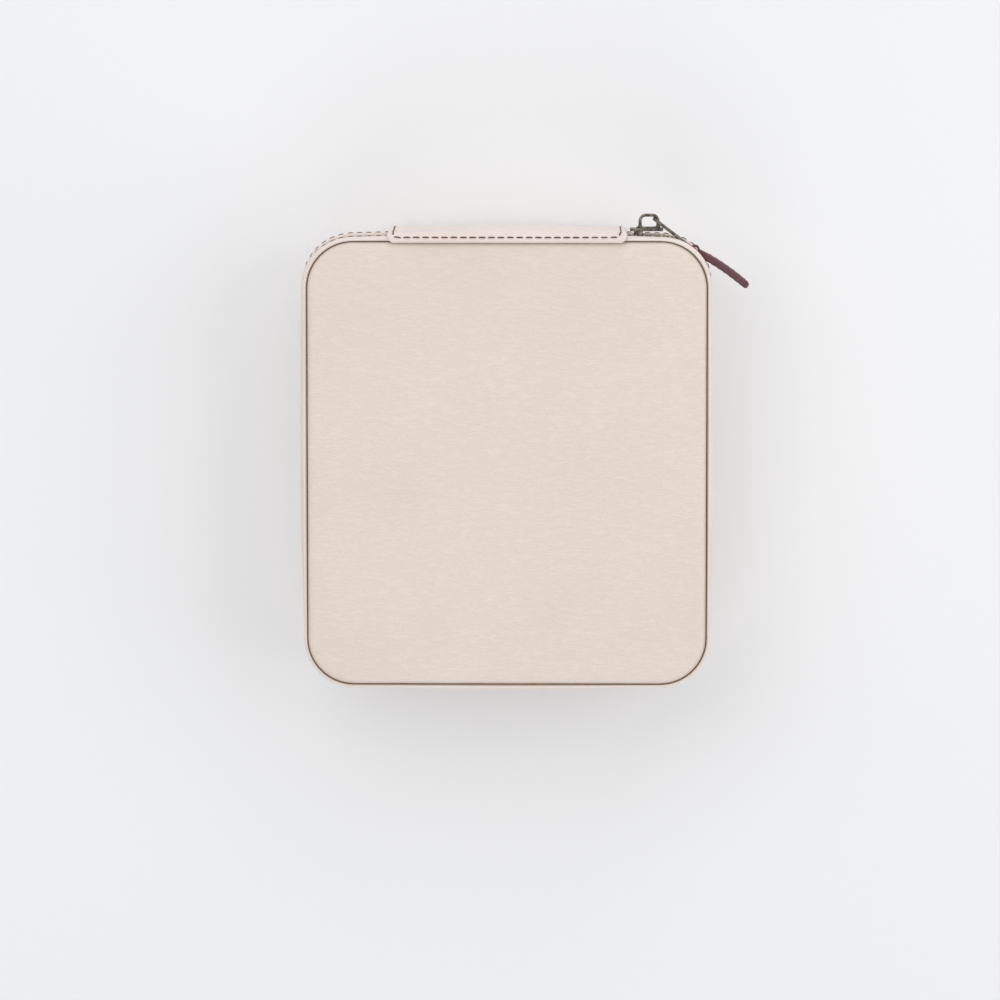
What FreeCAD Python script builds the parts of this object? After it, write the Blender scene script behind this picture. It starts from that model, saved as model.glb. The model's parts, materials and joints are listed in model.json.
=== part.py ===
"""Zip-around leather jewelry case with a fold-back lid, ring rolls, compartments and a mirror.

Millimetres, +Z up.  The case lies on its base: the origin is the centre of the bottom face, +Y is
the spine, -Y the front, and the lid is on top.  Base and lid are both wrapped board boxes whose
walls lean out from the panel seam to the zip line.  A channel is left between their edges for the
zip, and a leather spine patch bridges it at the back and is the hinge.
"""
import FreeCAD, Part
import os
import Sketcher

# Every driving size: alias, value in millimetres (angles in degrees), meaning.
SIZES = [
    ("case_width", 158.0, "outer width along X at the zip channel"),
    ("case_length", 175.0, "outer length along Y at the zip channel"),
    ("case_height", 52.0, "overall height, base and lid closed"),
    ("zip_height", 32.0, "height of the zip line above the bottom"),
    ("channel_half", 5.0, "half of the gap between the base's and the lid's edges"),
    ("corner_radius", 26.5, "corner radius of the walls at the zip channel"),
    ("wall_lean", 2.4, "how far the wall leans in between its edge and the bead"),
    ("bead_radius", 19.0, "corner radius where the rolled bead starts"),
    ("bead_height", 1.8, "height of the rolled bead round each panel"),
    ("bead_width", 0.7, "width of the bead's flat top"),
    ("seam_inset", 4.1, "distance from the case's outline to the panel seam"),
    ("seam_gap", 0.2, "open width of the seam round each panel"),
    ("face_radius", 17.3, "corner radius of the panels"),
    ("leather", 1.2, "thickness of the outer leather"),
    ("lid_foam_depth", 2.0, "foam under the lid's panel"),
    ("base_foam_depth", 1.0, "foam under the bottom panel"),
    ("board", 2.0, "thickness of the stiffening boards"),
    ("lining", 1.0, "thickness of the inner lining"),
    ("tape", 0.8, "thickness of the zip tape"),
    ("tape_gap", 0.1, "distance of the tape inside the wall's board"),
    ("coil_depth", 1.5, "thickness of the zip coil across the tape"),
    ("coil_inner", 1.2, "distance from the zip line to the near side of each coil"),
    ("coil_outer", 2.6, "distance from the zip line to the far side of each coil"),
    ("spine_margin", 1.2, "gap between the spine patch and the slider at rest"),
    ("spine_leather", 1.6, "thickness of the spine patch"),
    ("spine_end_drop", 0.6, "distance between the bead and each end of the spine patch"),
    ("spine_end_gap", 2.0, "distance the zip runs in behind each end of the spine patch"),
    ("fold_gap", 0.3, "half of the gap at the fold line of the spine"),
    ("hinge_offset", 2.0, "distance of the fold axis outside the back wall"),
    ("slider_length", 12.6, "length of the slider along the zip"),
    ("slider_half", 3.9, "half width of the slider at its wide end"),
    ("slider_tail", 3.2, "half width of the slider at its narrow end"),
    ("slider_plate", 1.1, "thickness of the slider's outer plate"),
    ("slider_proud", 0.1, "how far the slider stands out of the back wall"),
    ("inner_plate", 0.9, "thickness of the slider's inner plate"),
    ("inner_plate_length", 9.6, "length of the slider's inner plate"),
    ("plate_clearance", 0.75, "clearance between the coil and the inner plate"),
    ("post_half", 0.9, "half thickness of the post that joins the slider's plates"),
    ("bail_length", 7.9, "outer length of the bail"),
    ("bail_height", 5.4, "height of the bail above the slider"),
    ("bail_band", 1.2, "thickness of the bail's band"),
    ("bail_half", 1.2, "half width of the bail's band"),
    ("bail_round", 2.2, "outer radius of the bail's shoulders"),
    ("bail_shift", 0.95, "offset of the bail's middle from the slider's"),
    ("pivot_rise", 2.3, "height of the link's pivot above the slider"),
    ("link_thickness", 1.1, "thickness of the puller link"),
    ("link_length", 17.5, "distance between the link's two pivots"),
    ("link_half", 3.6, "half width of the link"),
    ("link_neck", 2.5, "half width of the link at the bail"),
    ("eye_half", 1.45, "half size of the link's eye round the bail"),
    ("eye_rim", 0.8, "metal round the end of the link's eye"),
    ("bar_half", 0.7, "half width of the link's end bar"),
    ("window_length", 3.4, "length of the link's window for the leather loop"),
    ("pull_sink", 0.9, "how far the pull lies inside the corner's outline"),
    ("pull_bend", 4.0, "angle in degrees that the leather pull stands away from the link at rest"),
    ("pull_thickness", 2.8, "thickness of the folded leather pull"),
    ("pull_half", 4.0, "half width of the leather pull"),
    ("pull_length", 24.5, "length of the leather pull from its pivot to its tip"),
    ("pull_flare", 3.0, "length over which the pull widens from its loop"),
    ("loop_radius", 2.0, "outer radius of the pull's loop"),
    ("loop_bore", 1.15, "inner radius of the pull's loop"),
    ("loop_half", 2.4, "half width of the pull's loop"),
    ("running_gap", 0.3, "clearance between parts that move on each other"),
    ("fit_gap", 0.3, "clearance round loose inserts"),
    ("divider", 3.0, "thickness of the dividers"),
    ("divider_drop", 2.8, "distance of the dividers' tops below the base's edge"),
    ("front_divider_x", 6.0, "place of the divider in front of the long one"),
    ("back_divider_x", -22.0, "place of the divider behind the long one"),
    ("roll_radius", 6.4, "radius of a ring roll"),
    ("roll_gap", 1.7, "gap between neighbouring ring rolls"),
    ("roll_rise", 2.2, "height of a ring roll's round part above its bed"),
    ("bed", 2.0, "thickness of the bed under the ring rolls"),
    ("mirror_width", 96.0, "width of the mirror"),
    ("mirror_length", 116.0, "length of the mirror"),
    ("mirror_glass_depth", 1.6, "thickness of the mirror"),
    ("mirror_rim", 4.0, "width of the mirror's rim"),
    ("mirror_rim_depth", 2.0, "thickness of the mirror's rim"),
    ("mirror_corner", 2.0, "corner radius of the rim's opening"),
    ("mirror_gap", 0.1, "gap between the mirror and its rim"),
    ("stop_length", 2.2, "length of each zip end stop"),
]
ROLL_COUNT = 5
ROLL_CORNER_SHARE = 0.65     # share of the cavity's corner radius that the first roll leaves free
SLIDER_NOSE = 0.75           # shares of the slider's half width and half length in its outline
SLIDER_SHOULDER = 0.7
SLIDER_WAIST = 0.2
SLIDER_TAIL_START = 0.3
POST_START, POST_WIDEST, POST_END = 0.85, 0.5, 0.1
LINK_NECK_END = 0.45         # shares of the link's length where its neck ends and its full width starts
LINK_WIDE_START = 0.62
TIP_LEAD = 0.3               # shares of the pull's half width in the facets of its round tip
TIP_WIDTH = 0.72
CUT_SPARE = 1.0              # millimetres that a cut reaches beyond the solid in all
SAME_PLACE = 1e-3            # millimetres within which two places are the same

doc = FreeCAD.newDocument("jewelry_case")
sheet = doc.addObject("Spreadsheet::Sheet", "sizes")
for row, (alias, value, meaning) in enumerate(SIZES, start=1):
    sheet.set(f"A{row}", alias)
    sheet.set(f"B{row}", str(value))
    sheet.setAlias(f"B{row}", alias)
    sheet.set(f"C{row}", meaning)
doc.recompute()

parts = []


def size(text):
    """Turns the aliases in an expression into references to the sheet."""
    words = []
    aliases = {alias for alias, _, _ in SIZES}
    word = ""
    for letter in text + " ":
        if letter.isalnum() or letter == "_":
            word += letter
            continue
        words.append("sizes." + word if word in aliases else word)
        words.append(letter)
        word = ""
    return "".join(words).strip()


# Places that follow from the sizes, as expressions.
BACK = "(case_length / 2)"
FOLD = "(case_length / 2 + hinge_offset)"
SLIDER_X = "(case_width / 2 - corner_radius)"
SPINE_HALF = f"({SLIDER_X} - slider_length / 2 - spine_margin)"
SLIDER_TOP = "(case_length / 2 + slider_proud)"
TAPE_DEPTH = "(leather + board + tape_gap)"
COIL_DEPTH = f"({TAPE_DEPTH} + tape / 2 - coil_depth / 2)"
PIVOT_ALONG = "(bail_shift + bail_length / 2 - bail_band / 2)"
PIVOT_OUT = "(corner_radius + slider_proud + pivot_rise)"
PIVOT_X = f"({SLIDER_X} + {PIVOT_ALONG})"
PIVOT_Y = f"({SLIDER_TOP} + pivot_rise)"
LINK_ANGLE = (f"(atan({PIVOT_ALONG} / {PIVOT_OUT}) + acos((corner_radius - pull_sink)"
              f" / sqrt({PIVOT_ALONG} ^ 2 + {PIVOT_OUT} ^ 2)))")


class Half:
    """One half of the case, from its edge at the zip channel to its outer panel."""

    def __init__(self, name, edge, face, inward, foam):
        self.name = name
        self.edge = edge                                     # height of the edge at the channel
        self.face = face                                     # height of the outer panel's face
        self.inward = inward                                 # sign of the step from face to cavity
        self.bead = self.below("bead_height")                # height where the bead starts
        self.foam_top = self.below("leather")
        self.board_top = self.below(f"leather + {foam}")
        self.lining_top = self.below(f"leather + {foam} + board")
        self.floor = self.below(f"leather + {foam} + board + lining")

    def below(self, depth):
        """Height of a level that lies a depth inside the outer face."""
        return f"({self.face} {self.inward} ({depth}))"

    def share(self, level):
        """Share of the way from the edge to the bead at a height."""
        return f"(({level} - {self.edge}) / ({self.bead} - {self.edge}))"

    def inset(self, level, depth):
        """Distance from the case's outline to the wall's surface at a height and a depth."""
        return f"(wall_lean * {self.share(level)} + {depth})"

    def radius(self, level, depth):
        """Corner radius of the wall's surface at a height and a depth."""
        lean = f"(bead_radius - corner_radius) * {self.share(level)}"
        return f"(corner_radius + {lean} - {depth})"


BASE = Half("base", "(zip_height - channel_half)", "0", "+", "base_foam_depth")
LID = Half("lid", "(zip_height + channel_half)", "case_height", "-", "lid_foam_depth")


def new_body(label):
    body = doc.addObject("PartDesign::Body", label)
    body.Label = label
    parts.append(body)
    return body


def new_sketch(body, name, role, offset="0"):
    """Makes a sketch on one of the body's origin planes, moved along the plane's normal."""
    sketch = body.newObject("Sketcher::SketchObject", name)
    plane = [item for item in body.Origin.OriginFeatures if item.Role == role][0]
    sketch.AttachmentSupport = (plane, [""])
    sketch.MapMode = "FlatFace"
    sketch.setExpression("AttachmentOffset.Base.z", size(offset))
    return sketch


def bind(sketch, name, constraint, expression):
    """Adds a named constraint and ties it to an expression."""
    index = sketch.addConstraint(constraint)
    sketch.renameConstraint(index, name)
    sketch.setExpression(f"Constraints.{name}", size(expression))


def rounded_rectangle(body, name, level, width, length, radius):
    """Makes a rectangle with round corners, centred on the Z axis at a height."""
    sketch = new_sketch(body, name, "XY_Plane", level)
    point = FreeCAD.Vector
    half_x, half_y, corner = 50.0, 60.0, 10.0
    quarter = 1.5707963267948966
    flat_x, flat_y = half_x - corner, half_y - corner
    lines = [((-flat_x, -half_y), (flat_x, -half_y)), ((half_x, -flat_y), (half_x, flat_y)),
             ((flat_x, half_y), (-flat_x, half_y)), ((-half_x, flat_y), (-half_x, -flat_y))]
    centres = [(flat_x, -flat_y), (flat_x, flat_y), (-flat_x, flat_y), (-flat_x, -flat_y)]
    for start, end in lines:
        sketch.addGeometry(Part.LineSegment(point(*start, 0), point(*end, 0)))
    for turn, centre in enumerate(centres):
        circle = Part.Circle(point(*centre, 0), point(0, 0, 1), corner)
        first = (turn - 1) * quarter
        sketch.addGeometry(Part.ArcOfCircle(circle, first, first + quarter))
    for side in range(4):
        arc = 4 + side
        sketch.addConstraint(Sketcher.Constraint("Tangent", side, 2, arc, 1))
        sketch.addConstraint(Sketcher.Constraint("Tangent", arc, 2, (side + 1) % 4, 1))
        direction = "Vertical" if side % 2 else "Horizontal"
        sketch.addConstraint(Sketcher.Constraint(direction, side))
    for arc in (5, 6, 7):
        sketch.addConstraint(Sketcher.Constraint("Equal", 4, arc))
    sketch.addConstraint(Sketcher.Constraint("Symmetric", 4, 3, 6, 3, -1, 1))
    bind(sketch, "radius", Sketcher.Constraint("Radius", 4, corner), radius)
    bind(sketch, "width", Sketcher.Constraint("DistanceX", 3, 1, 1, 1, 2 * half_x), width)
    bind(sketch, "length", Sketcher.Constraint("DistanceY", 0, 1, 2, 1, 2 * half_y), length)
    return sketch


def wall_section(body, name, half, level, depth):
    """Outline of the leaning wall at a height, a depth inside its outer surface."""
    inset = half.inset(level, depth)
    return rounded_rectangle(body, name, level, f"case_width - 2 * {inset}",
                             f"case_length - 2 * {inset}", half.radius(level, depth))


def panel_section(body, name, level, outward):
    """Outline of the panel seam, grown outward by a distance."""
    inset = f"(seam_inset - {outward})"
    return rounded_rectangle(body, name, level, f"case_width - 2 * {inset}",
                             f"case_length - 2 * {inset}", f"(face_radius + {outward})")


def loft(body, name, sections, kind="AdditiveLoft"):
    """Joins sections with straight sides, as a solid or as a cut."""
    feature = body.newObject(f"PartDesign::{kind}", name)
    feature.Profile = sections[0]
    feature.Sections = sections[1:]
    feature.Ruled = True
    return feature


def pad(body, sketch, length, middle=False, turned=False):
    feature = body.newObject("PartDesign::Pad", sketch.Name + "_pad")
    feature.Profile = sketch
    feature.setExpression("Length", size(length))
    feature.Midplane = middle
    feature.Reversed = turned
    return feature


def pocket(body, sketch, length):
    """Cuts a sketch through its solid, a length shared by both sides of the sketch's plane."""
    feature = body.newObject("PartDesign::Pocket", sketch.Name + "_pocket")
    feature.Profile = sketch
    feature.setExpression("Length", size(f"{length} + {CUT_SPARE}"))
    feature.Midplane = True
    return feature


def polygon(body, name, role, points, offset="0"):
    """Makes a closed outline whose corners are given as pairs of expressions."""
    sketch = new_sketch(body, name, role, offset)
    count = len(points)
    places = [[float(doc.sizes.evalExpression(size(text))) for text in pair] for pair in points]
    for index in range(count):
        start = FreeCAD.Vector(*places[index], 0)
        end = FreeCAD.Vector(*places[(index + 1) % count], 0)
        sketch.addGeometry(Part.LineSegment(start, end))
    for index, (across, along) in enumerate(points):
        following = (index + 1) % count
        sketch.addConstraint(Sketcher.Constraint("Coincident", index, 2, following, 1))
        for word, text, place in (("DistanceX", across, 0), ("DistanceY", along, 1)):
            value = places[index][place]
            constraint = Sketcher.Constraint(word, -1, 1, index, 1, value)
            bind(sketch, f"{'xy'[place]}{index + 1}", constraint, text)
    return sketch


def mirrored(side):
    """Closed outline from its upper side, given along the line that it is mirrored on."""
    return [(along, f"-({out})") for along, out in side] + side[::-1]


def upright_edges(feature, wanted):
    """Names of the edges along Z whose X and Y fit a test, for rounding."""
    names = []
    for number, edge in enumerate(feature.Shape.Edges, start=1):
        low, high = edge.Vertexes[0].Point, edge.Vertexes[-1].Point
        along_z = abs(low.x - high.x) < SAME_PLACE and abs(low.y - high.y) < SAME_PLACE
        if along_z and wanted(low):
            names.append(f"Edge{number}")
    return names


def round_edges(body, feature, names, name, radius):
    fillet = body.newObject("PartDesign::Fillet", name)
    fillet.Base = (feature, names)
    fillet.setExpression("Radius", size(radius))
    return fillet


def place(body, across, along, height, angle=None):
    """Sets a body's Placement by expressions; the angle turns it clockwise about Z."""
    body.setExpression("Placement.Base.x", size(across))
    body.setExpression("Placement.Base.y", size(along))
    body.setExpression("Placement.Base.z", size(height))
    if angle:
        body.Placement.Rotation = FreeCAD.Rotation(FreeCAD.Vector(0, 0, 1), -1)
        body.setExpression("Placement.Rotation.Angle", "-" + size(angle))


def plate(label, near, far, outward):
    """Flat panel with the seam's outline between two depths under the outer face."""
    body = new_body(label)
    low, high = sorted((near, far), key=lambda text: float(sheet.evalExpression(size(text))))
    sketch = panel_section(body, label + "_outline", low, outward)
    pad(body, sketch, f"{high} - {low}")


def wall_ring(label, half, first, last, outer, inner):
    """Leaning wall ring between two heights and two depths."""
    body = new_body(label)
    loft(body, label + "_outside", [wall_section(body, label + "_outside_a", half, first, outer),
                                    wall_section(body, label + "_outside_b", half, last, outer)])
    loft(body, label + "_inside", [wall_section(body, label + "_inside_a", half, first, inner),
                                   wall_section(body, label + "_inside_b", half, last, inner)],
         "SubtractiveLoft")


def wall_leather(half):
    """Outer leather of the wall, with the rolled bead that ends at the panel seam."""
    label = half.name + "_wall_leather"
    body = new_body(label)
    outside = [wall_section(body, label + "_outside_edge", half, half.edge, "0"),
               wall_section(body, label + "_outside_bead", half, half.bead, "0"),
               panel_section(body, label + "_outside_seam", half.face, "bead_width")]
    loft(body, label + "_outside", outside)
    inside = [wall_section(body, label + "_inside_edge", half, half.edge, "leather"),
              wall_section(body, label + "_inside_bead", half, half.bead, "leather"),
              panel_section(body, label + "_inside_seam", half.face, "(seam_gap / 2)")]
    loft(body, label + "_inside", inside, "SubtractiveLoft")


def panel_board(half):
    """Stiffening board behind the panel, out to the wall's leather."""
    label = half.name + "_panel_board"
    body = new_body(label)
    loft(body, label + "_solid",
         [wall_section(body, label + "_a", half, half.board_top, "leather"),
          wall_section(body, label + "_b", half, half.lining_top, "leather")])


def lining_cup(half):
    """Lining of the walls and of the floor, one wrapped cup."""
    label = half.name + "_lining"
    body = new_body(label)
    outer, inner = "(leather + board)", "(leather + board + lining)"
    loft(body, label + "_outside", [wall_section(body, label + "_outside_a", half, half.edge, outer),
                                    wall_section(body, label + "_outside_b", half, half.lining_top,
                                                 outer)])
    loft(body, label + "_inside", [wall_section(body, label + "_inside_a", half, half.edge, inner),
                                   wall_section(body, label + "_inside_b", half, half.floor, inner)],
         "SubtractiveLoft")


def zip_strip(label, low, high, depth, thickness):
    """Strip that follows the case's outline, left open behind the spine patch."""
    body = new_body(label)
    for name, inset, build in (("outer", depth, "pad"), ("inner", f"({depth} + {thickness})", "cut")):
        sketch = rounded_rectangle(body, f"{label}_{name}", low, f"case_width - 2 * {inset}",
                                   f"case_length - 2 * {inset}", f"(corner_radius - {inset})")
        if build == "pad":
            pad(body, sketch, f"{high} - {low}")
        else:
            pocket(body, sketch, f"2 * ({high} - {low})")
    end = f"({SPINE_HALF} - spine_end_gap)"
    opening = polygon(body, label + "_spine_gap", "XY_Plane",
                      [(f"-{end}", "0"), (end, "0"), (end, "case_length"), (f"-{end}", "case_length")],
                      low)
    pocket(body, opening, f"2 * ({high} - {low})")


def spine_leaf(half, sign):
    """Half of the spine patch: it lies on the leaning back wall and reaches to the fold line."""
    label = "spine_patch_" + half.name
    body = new_body(label)
    fold = f"(zip_height {sign} fold_gap)"
    end = half.below("bead_height + spine_end_drop")
    surface = f"({BACK} - {half.inset(end, '0')})"
    points = [(BACK, fold), (BACK, half.edge), (surface, end),
              (f"({surface} + spine_leather)", end), (f"({BACK} + spine_leather)", half.edge),
              (f"({BACK} + spine_leather)", fold)]
    pad(body, polygon(body, label + "_profile", "YZ_Plane", points), f"2 * {SPINE_HALF}",
        middle=True)


def spine_lining(half, sign):
    """Half of the strip that lines the spine patch across the zip channel."""
    label = "spine_lining_" + half.name
    body = new_body(label)
    fold = f"(zip_height {sign} fold_gap)"
    inner = f"({BACK} - lining)"
    points = [(inner, fold), (inner, half.edge), (BACK, half.edge), (BACK, fold)]
    pad(body, polygon(body, label + "_profile", "YZ_Plane", points),
        f"2 * ({SPINE_HALF} - spine_end_gap - fit_gap)", middle=True)


def shell_of(half, sign):
    """All the pieces of one half of the case."""
    plate(half.name + "_panel_leather", half.face, half.foam_top, "(-seam_gap)")
    plate(half.name + "_panel_foam", half.foam_top, half.board_top, "(-seam_gap)")
    panel_board(half)
    wall_leather(half)
    wall_ring(half.name + "_wall_board", half, half.edge, half.lining_top, "leather",
              "(leather + board)")
    lining_cup(half)
    near, far = f"(zip_height {sign} coil_inner)", f"(zip_height {sign} coil_outer)"
    if sign == "+":
        zip_strip("lid_zip_coil", near, far, COIL_DEPTH, "coil_depth")
        zip_strip("lid_zip_tape", far, half.edge, TAPE_DEPTH, "tape")
    else:
        zip_strip("base_zip_coil", far, near, COIL_DEPTH, "coil_depth")
        zip_strip("base_zip_tape", half.edge, far, TAPE_DEPTH, "tape")
    spine_leaf(half, sign)
    spine_lining(half, sign)


def cavity_half(side, level):
    """Half size of the base's cavity at a height, less the clearance for an insert."""
    return f"({side} / 2 - {BASE.inset(level, '(leather + board + lining + fit_gap)')})"


# The ring rolls stand in a row behind the front wall, and the long divider closes the row.
BANK_FRONT = f"(-{cavity_half('case_length', BASE.floor)} + fit_gap)"
BANK_BACK = f"({BANK_FRONT} + {ROLL_COUNT} * (2 * roll_radius + roll_gap))"
LONG_DIVIDER_Y = f"({BANK_BACK} + fit_gap + divider / 2)"


def divider(label, role, first, last, place_along):
    """Upright divider whose ends follow the leaning walls; each end gives its place at a height."""
    body = new_body(label)
    bottom, top = BASE.floor, f"({BASE.edge} - divider_drop)"
    points = [(first(bottom), bottom), (last(bottom), bottom), (last(top), top), (first(top), top)]
    sketch = polygon(body, label + "_outline", role, points, place_along)
    pad(body, sketch, "divider", middle=True)


def dividers():
    """One divider along X and one along Y on each side of it."""
    divider("long_divider", "XZ_Plane", lambda level: "-" + cavity_half("case_width", level),
            lambda level: cavity_half("case_width", level), "-" + LONG_DIVIDER_Y)
    divider("front_divider", "YZ_Plane", lambda level: "-" + cavity_half("case_length", level),
            lambda level: f"({LONG_DIVIDER_Y} - divider / 2)", "front_divider_x")
    divider("back_divider", "YZ_Plane", lambda level: f"({LONG_DIVIDER_Y} + divider / 2)",
            lambda level: cavity_half("case_length", level), "back_divider_x")


def ring_bank():
    """Bed and ring rolls in the front left compartment; the rolls run along X."""
    left = f"(-{cavity_half('case_width', BASE.floor)} + fit_gap)"
    right = "(front_divider_x - divider / 2 - fit_gap)"
    front, back = BANK_FRONT, BANK_BACK
    corner = f"({BASE.radius(BASE.floor, '(leather + board + lining + fit_gap)')})"
    body = new_body("ring_bed")
    points = [(f"({left} + {corner})", front), (right, front), (right, back), (left, back),
              (left, f"({front} + {corner})")]
    pad(body, polygon(body, "ring_bed_outline", "XY_Plane", points, BASE.floor), "bed")
    bed_top = f"({BASE.floor} + bed)"
    pitch = "(2 * roll_radius + roll_gap)"
    for number in range(1, ROLL_COUNT + 1):
        middle = f"({front} + {pitch} * {number - 0.5})"
        inner_end = f"{corner} * {ROLL_CORNER_SHARE}" if number == 1 else "fit_gap"
        start = f"({left} + {inner_end})"
        ring_roll(f"ring_roll_{number}", start, f"({right} - fit_gap - {start})", middle, bed_top)


def ring_roll(label, start, length, middle, bottom):
    """Padded roll: a round top on straight sides."""
    foot = doc.addObject("Part::Box", label + "_foot")
    foot.setExpression("Length", size(length))
    foot.setExpression("Width", size("2 * roll_radius"))
    crown_height = f"({bottom} + roll_rise + roll_radius)"
    foot.setExpression("Height", size(f"{crown_height} - {bottom}"))
    place(foot, start, f"{middle} - roll_radius", bottom)
    crown = doc.addObject("Part::Cylinder", label + "_crown")
    crown.setExpression("Radius", size("roll_radius"))
    crown.setExpression("Height", size(length))
    crown.Placement.Rotation = FreeCAD.Rotation(FreeCAD.Vector(0, 1, 0), 90)
    place(crown, start, middle, crown_height)
    roll = doc.addObject("Part::MultiFuse", label)
    roll.Shapes = [foot, crown]
    roll.Refine = True
    roll.Label = label
    parts.append(roll)


def mirror():
    """Mirror and the rim that holds it against the lid's lining."""
    rim = new_body("mirror_rim")
    rim_low = f"({LID.floor} - mirror_rim_depth)"
    outline = rounded_rectangle(rim, "mirror_rim_outline", rim_low, "mirror_width + 2 * mirror_rim",
                                "mirror_length + 2 * mirror_rim", "mirror_rim + mirror_corner")
    pad(rim, outline, "mirror_rim_depth")
    opening = rounded_rectangle(rim, "mirror_rim_opening", rim_low, "mirror_width", "mirror_length",
                                "mirror_corner")
    pocket(rim, opening, "2 * mirror_rim_depth")
    glass = new_body("mirror_glass")
    sheet_outline = rounded_rectangle(glass, "mirror_glass_outline",
                                      f"({LID.floor} - mirror_glass_depth)",
                                      "mirror_width - 2 * mirror_gap",
                                      "mirror_length - 2 * mirror_gap", "mirror_corner - mirror_gap")
    pad(glass, sheet_outline, "mirror_glass_depth")


def zip_stops():
    """Metal clips that end the zip behind the spine patch, one at each side."""
    body = new_body("zip_end_stops")
    inner = f"({SPINE_HALF} - spine_end_gap - stop_length)"
    outer = f"({SPINE_HALF} - spine_end_gap)"
    far = f"({COIL_DEPTH} + coil_depth - {BACK})"
    height = "(2 * (coil_outer - coil_inner))"
    for side, (first, last) in (("right", (inner, outer)), ("left", (f"-{outer}", f"-{inner}"))):
        points = [(first, "(zip_height - channel_half)"), (last, "(zip_height - channel_half)"),
                  (last, f"(zip_height - channel_half + {height})"),
                  (first, f"(zip_height - channel_half + {height})")]
        sketch = polygon(body, f"zip_end_stop_{side}", "XZ_Plane", points, far)
        pad(body, sketch, "coil_depth")


def slider_body():
    """Zip slider: outer plate, inner plate and the post between them, wide end to the spine."""
    body = new_body("slider_body")
    half_length = "(slider_length / 2)"
    side = [(f"-{half_length}", f"slider_half * {SLIDER_NOSE}"),
            (f"-{half_length} * {SLIDER_SHOULDER}", "slider_half"),
            (f"-{half_length} * {SLIDER_WAIST}", "slider_half"),
            (f"{half_length} * {SLIDER_TAIL_START}", "slider_tail"), (half_length, "slider_tail")]
    points = mirrored(side)
    outer = polygon(body, "slider_outer_plate", "XZ_Plane", points, "-slider_proud")
    pad(body, outer, "slider_plate")
    inner_face = f"({COIL_DEPTH} + coil_depth + plate_clearance)"
    post = polygon(body, "slider_post", "XZ_Plane",
                   [(f"-{half_length} * {POST_START}", "0"),
                    (f"-{half_length} * {POST_WIDEST}", "-post_half"),
                    (f"-{half_length} * {POST_END}", "0"),
                    (f"-{half_length} * {POST_WIDEST}", "post_half")],
                   "slider_plate - slider_proud")
    pad(body, post, f"{inner_face} + slider_proud - slider_plate")
    half_inner = "(inner_plate_length / 2)"
    inner_points = mirrored([(f"-{half_inner}", f"slider_half * {SLIDER_SHOULDER}"),
                             (half_inner, "slider_tail")])
    inner = polygon(body, "slider_inner_plate", "XZ_Plane", inner_points, inner_face)
    pad(body, inner, "inner_plate")
    place(body, SLIDER_X, BACK, "zip_height")


def slider_bail():
    """Arched bail on the slider's outer plate."""
    body = new_body("slider_bail")
    left, right = "(bail_shift - bail_length / 2)", "(bail_shift + bail_length / 2)"
    top = "bail_height"
    points = [(left, "0"), (left, top), (right, top), (right, "0"), (f"({right} - bail_band)", "0"),
              (f"({right} - bail_band)", f"({top} - bail_band)"),
              (f"({left} + bail_band)", f"({top} - bail_band)"), (f"({left} + bail_band)", "0")]
    arch = pad(body, polygon(body, "bail_outline", "XY_Plane", points), "2 * bail_half", middle=True)
    doc.recompute()
    under = sheet.bail_height - sheet.bail_band
    outer = upright_edges(arch, lambda spot: spot.y > under + SAME_PLACE)
    shoulders = round_edges(body, arch, outer, "bail_shoulders", "bail_round")
    doc.recompute()
    within = (sheet.bail_length - sheet.bail_band) / 2
    inner = upright_edges(shoulders, lambda spot: abs(spot.y - under) < SAME_PLACE
                          and abs(spot.x - sheet.bail_shift) < within)
    round_edges(body, shoulders, inner, "bail_inner_shoulders", "bail_round - bail_band")
    place(body, SLIDER_X, SLIDER_TOP, "zip_height")


def puller_link():
    """Flat metal link: an eye round the bail and a window whose end bar holds the leather."""
    body = new_body("puller_link")
    end = "(link_length + bar_half)"
    points = mirrored([("-(eye_half + eye_rim)", "link_neck"),
                       (f"(link_length * {LINK_NECK_END})", "link_neck"),
                       (f"(link_length * {LINK_WIDE_START})", "link_half"), (end, "link_half")])
    pad(body, polygon(body, "link_outline", "XZ_Plane", points), "link_thickness", middle=True)
    window_end = "(link_length - bar_half)"
    openings = {"eye": ("(-eye_half)", "eye_half", "eye_half"),
                "window": (f"({window_end} - window_length)", window_end, "(loop_half + running_gap)")}
    for name, (first, last, half_height) in openings.items():
        sketch = polygon(body, "link_" + name, "XZ_Plane",
                         [(first, f"-{half_height}"), (last, f"-{half_height}"),
                          (last, half_height), (first, half_height)])
        pocket(body, sketch, "link_thickness")
    place(body, PIVOT_X, PIVOT_Y, "zip_height", LINK_ANGLE)


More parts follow.
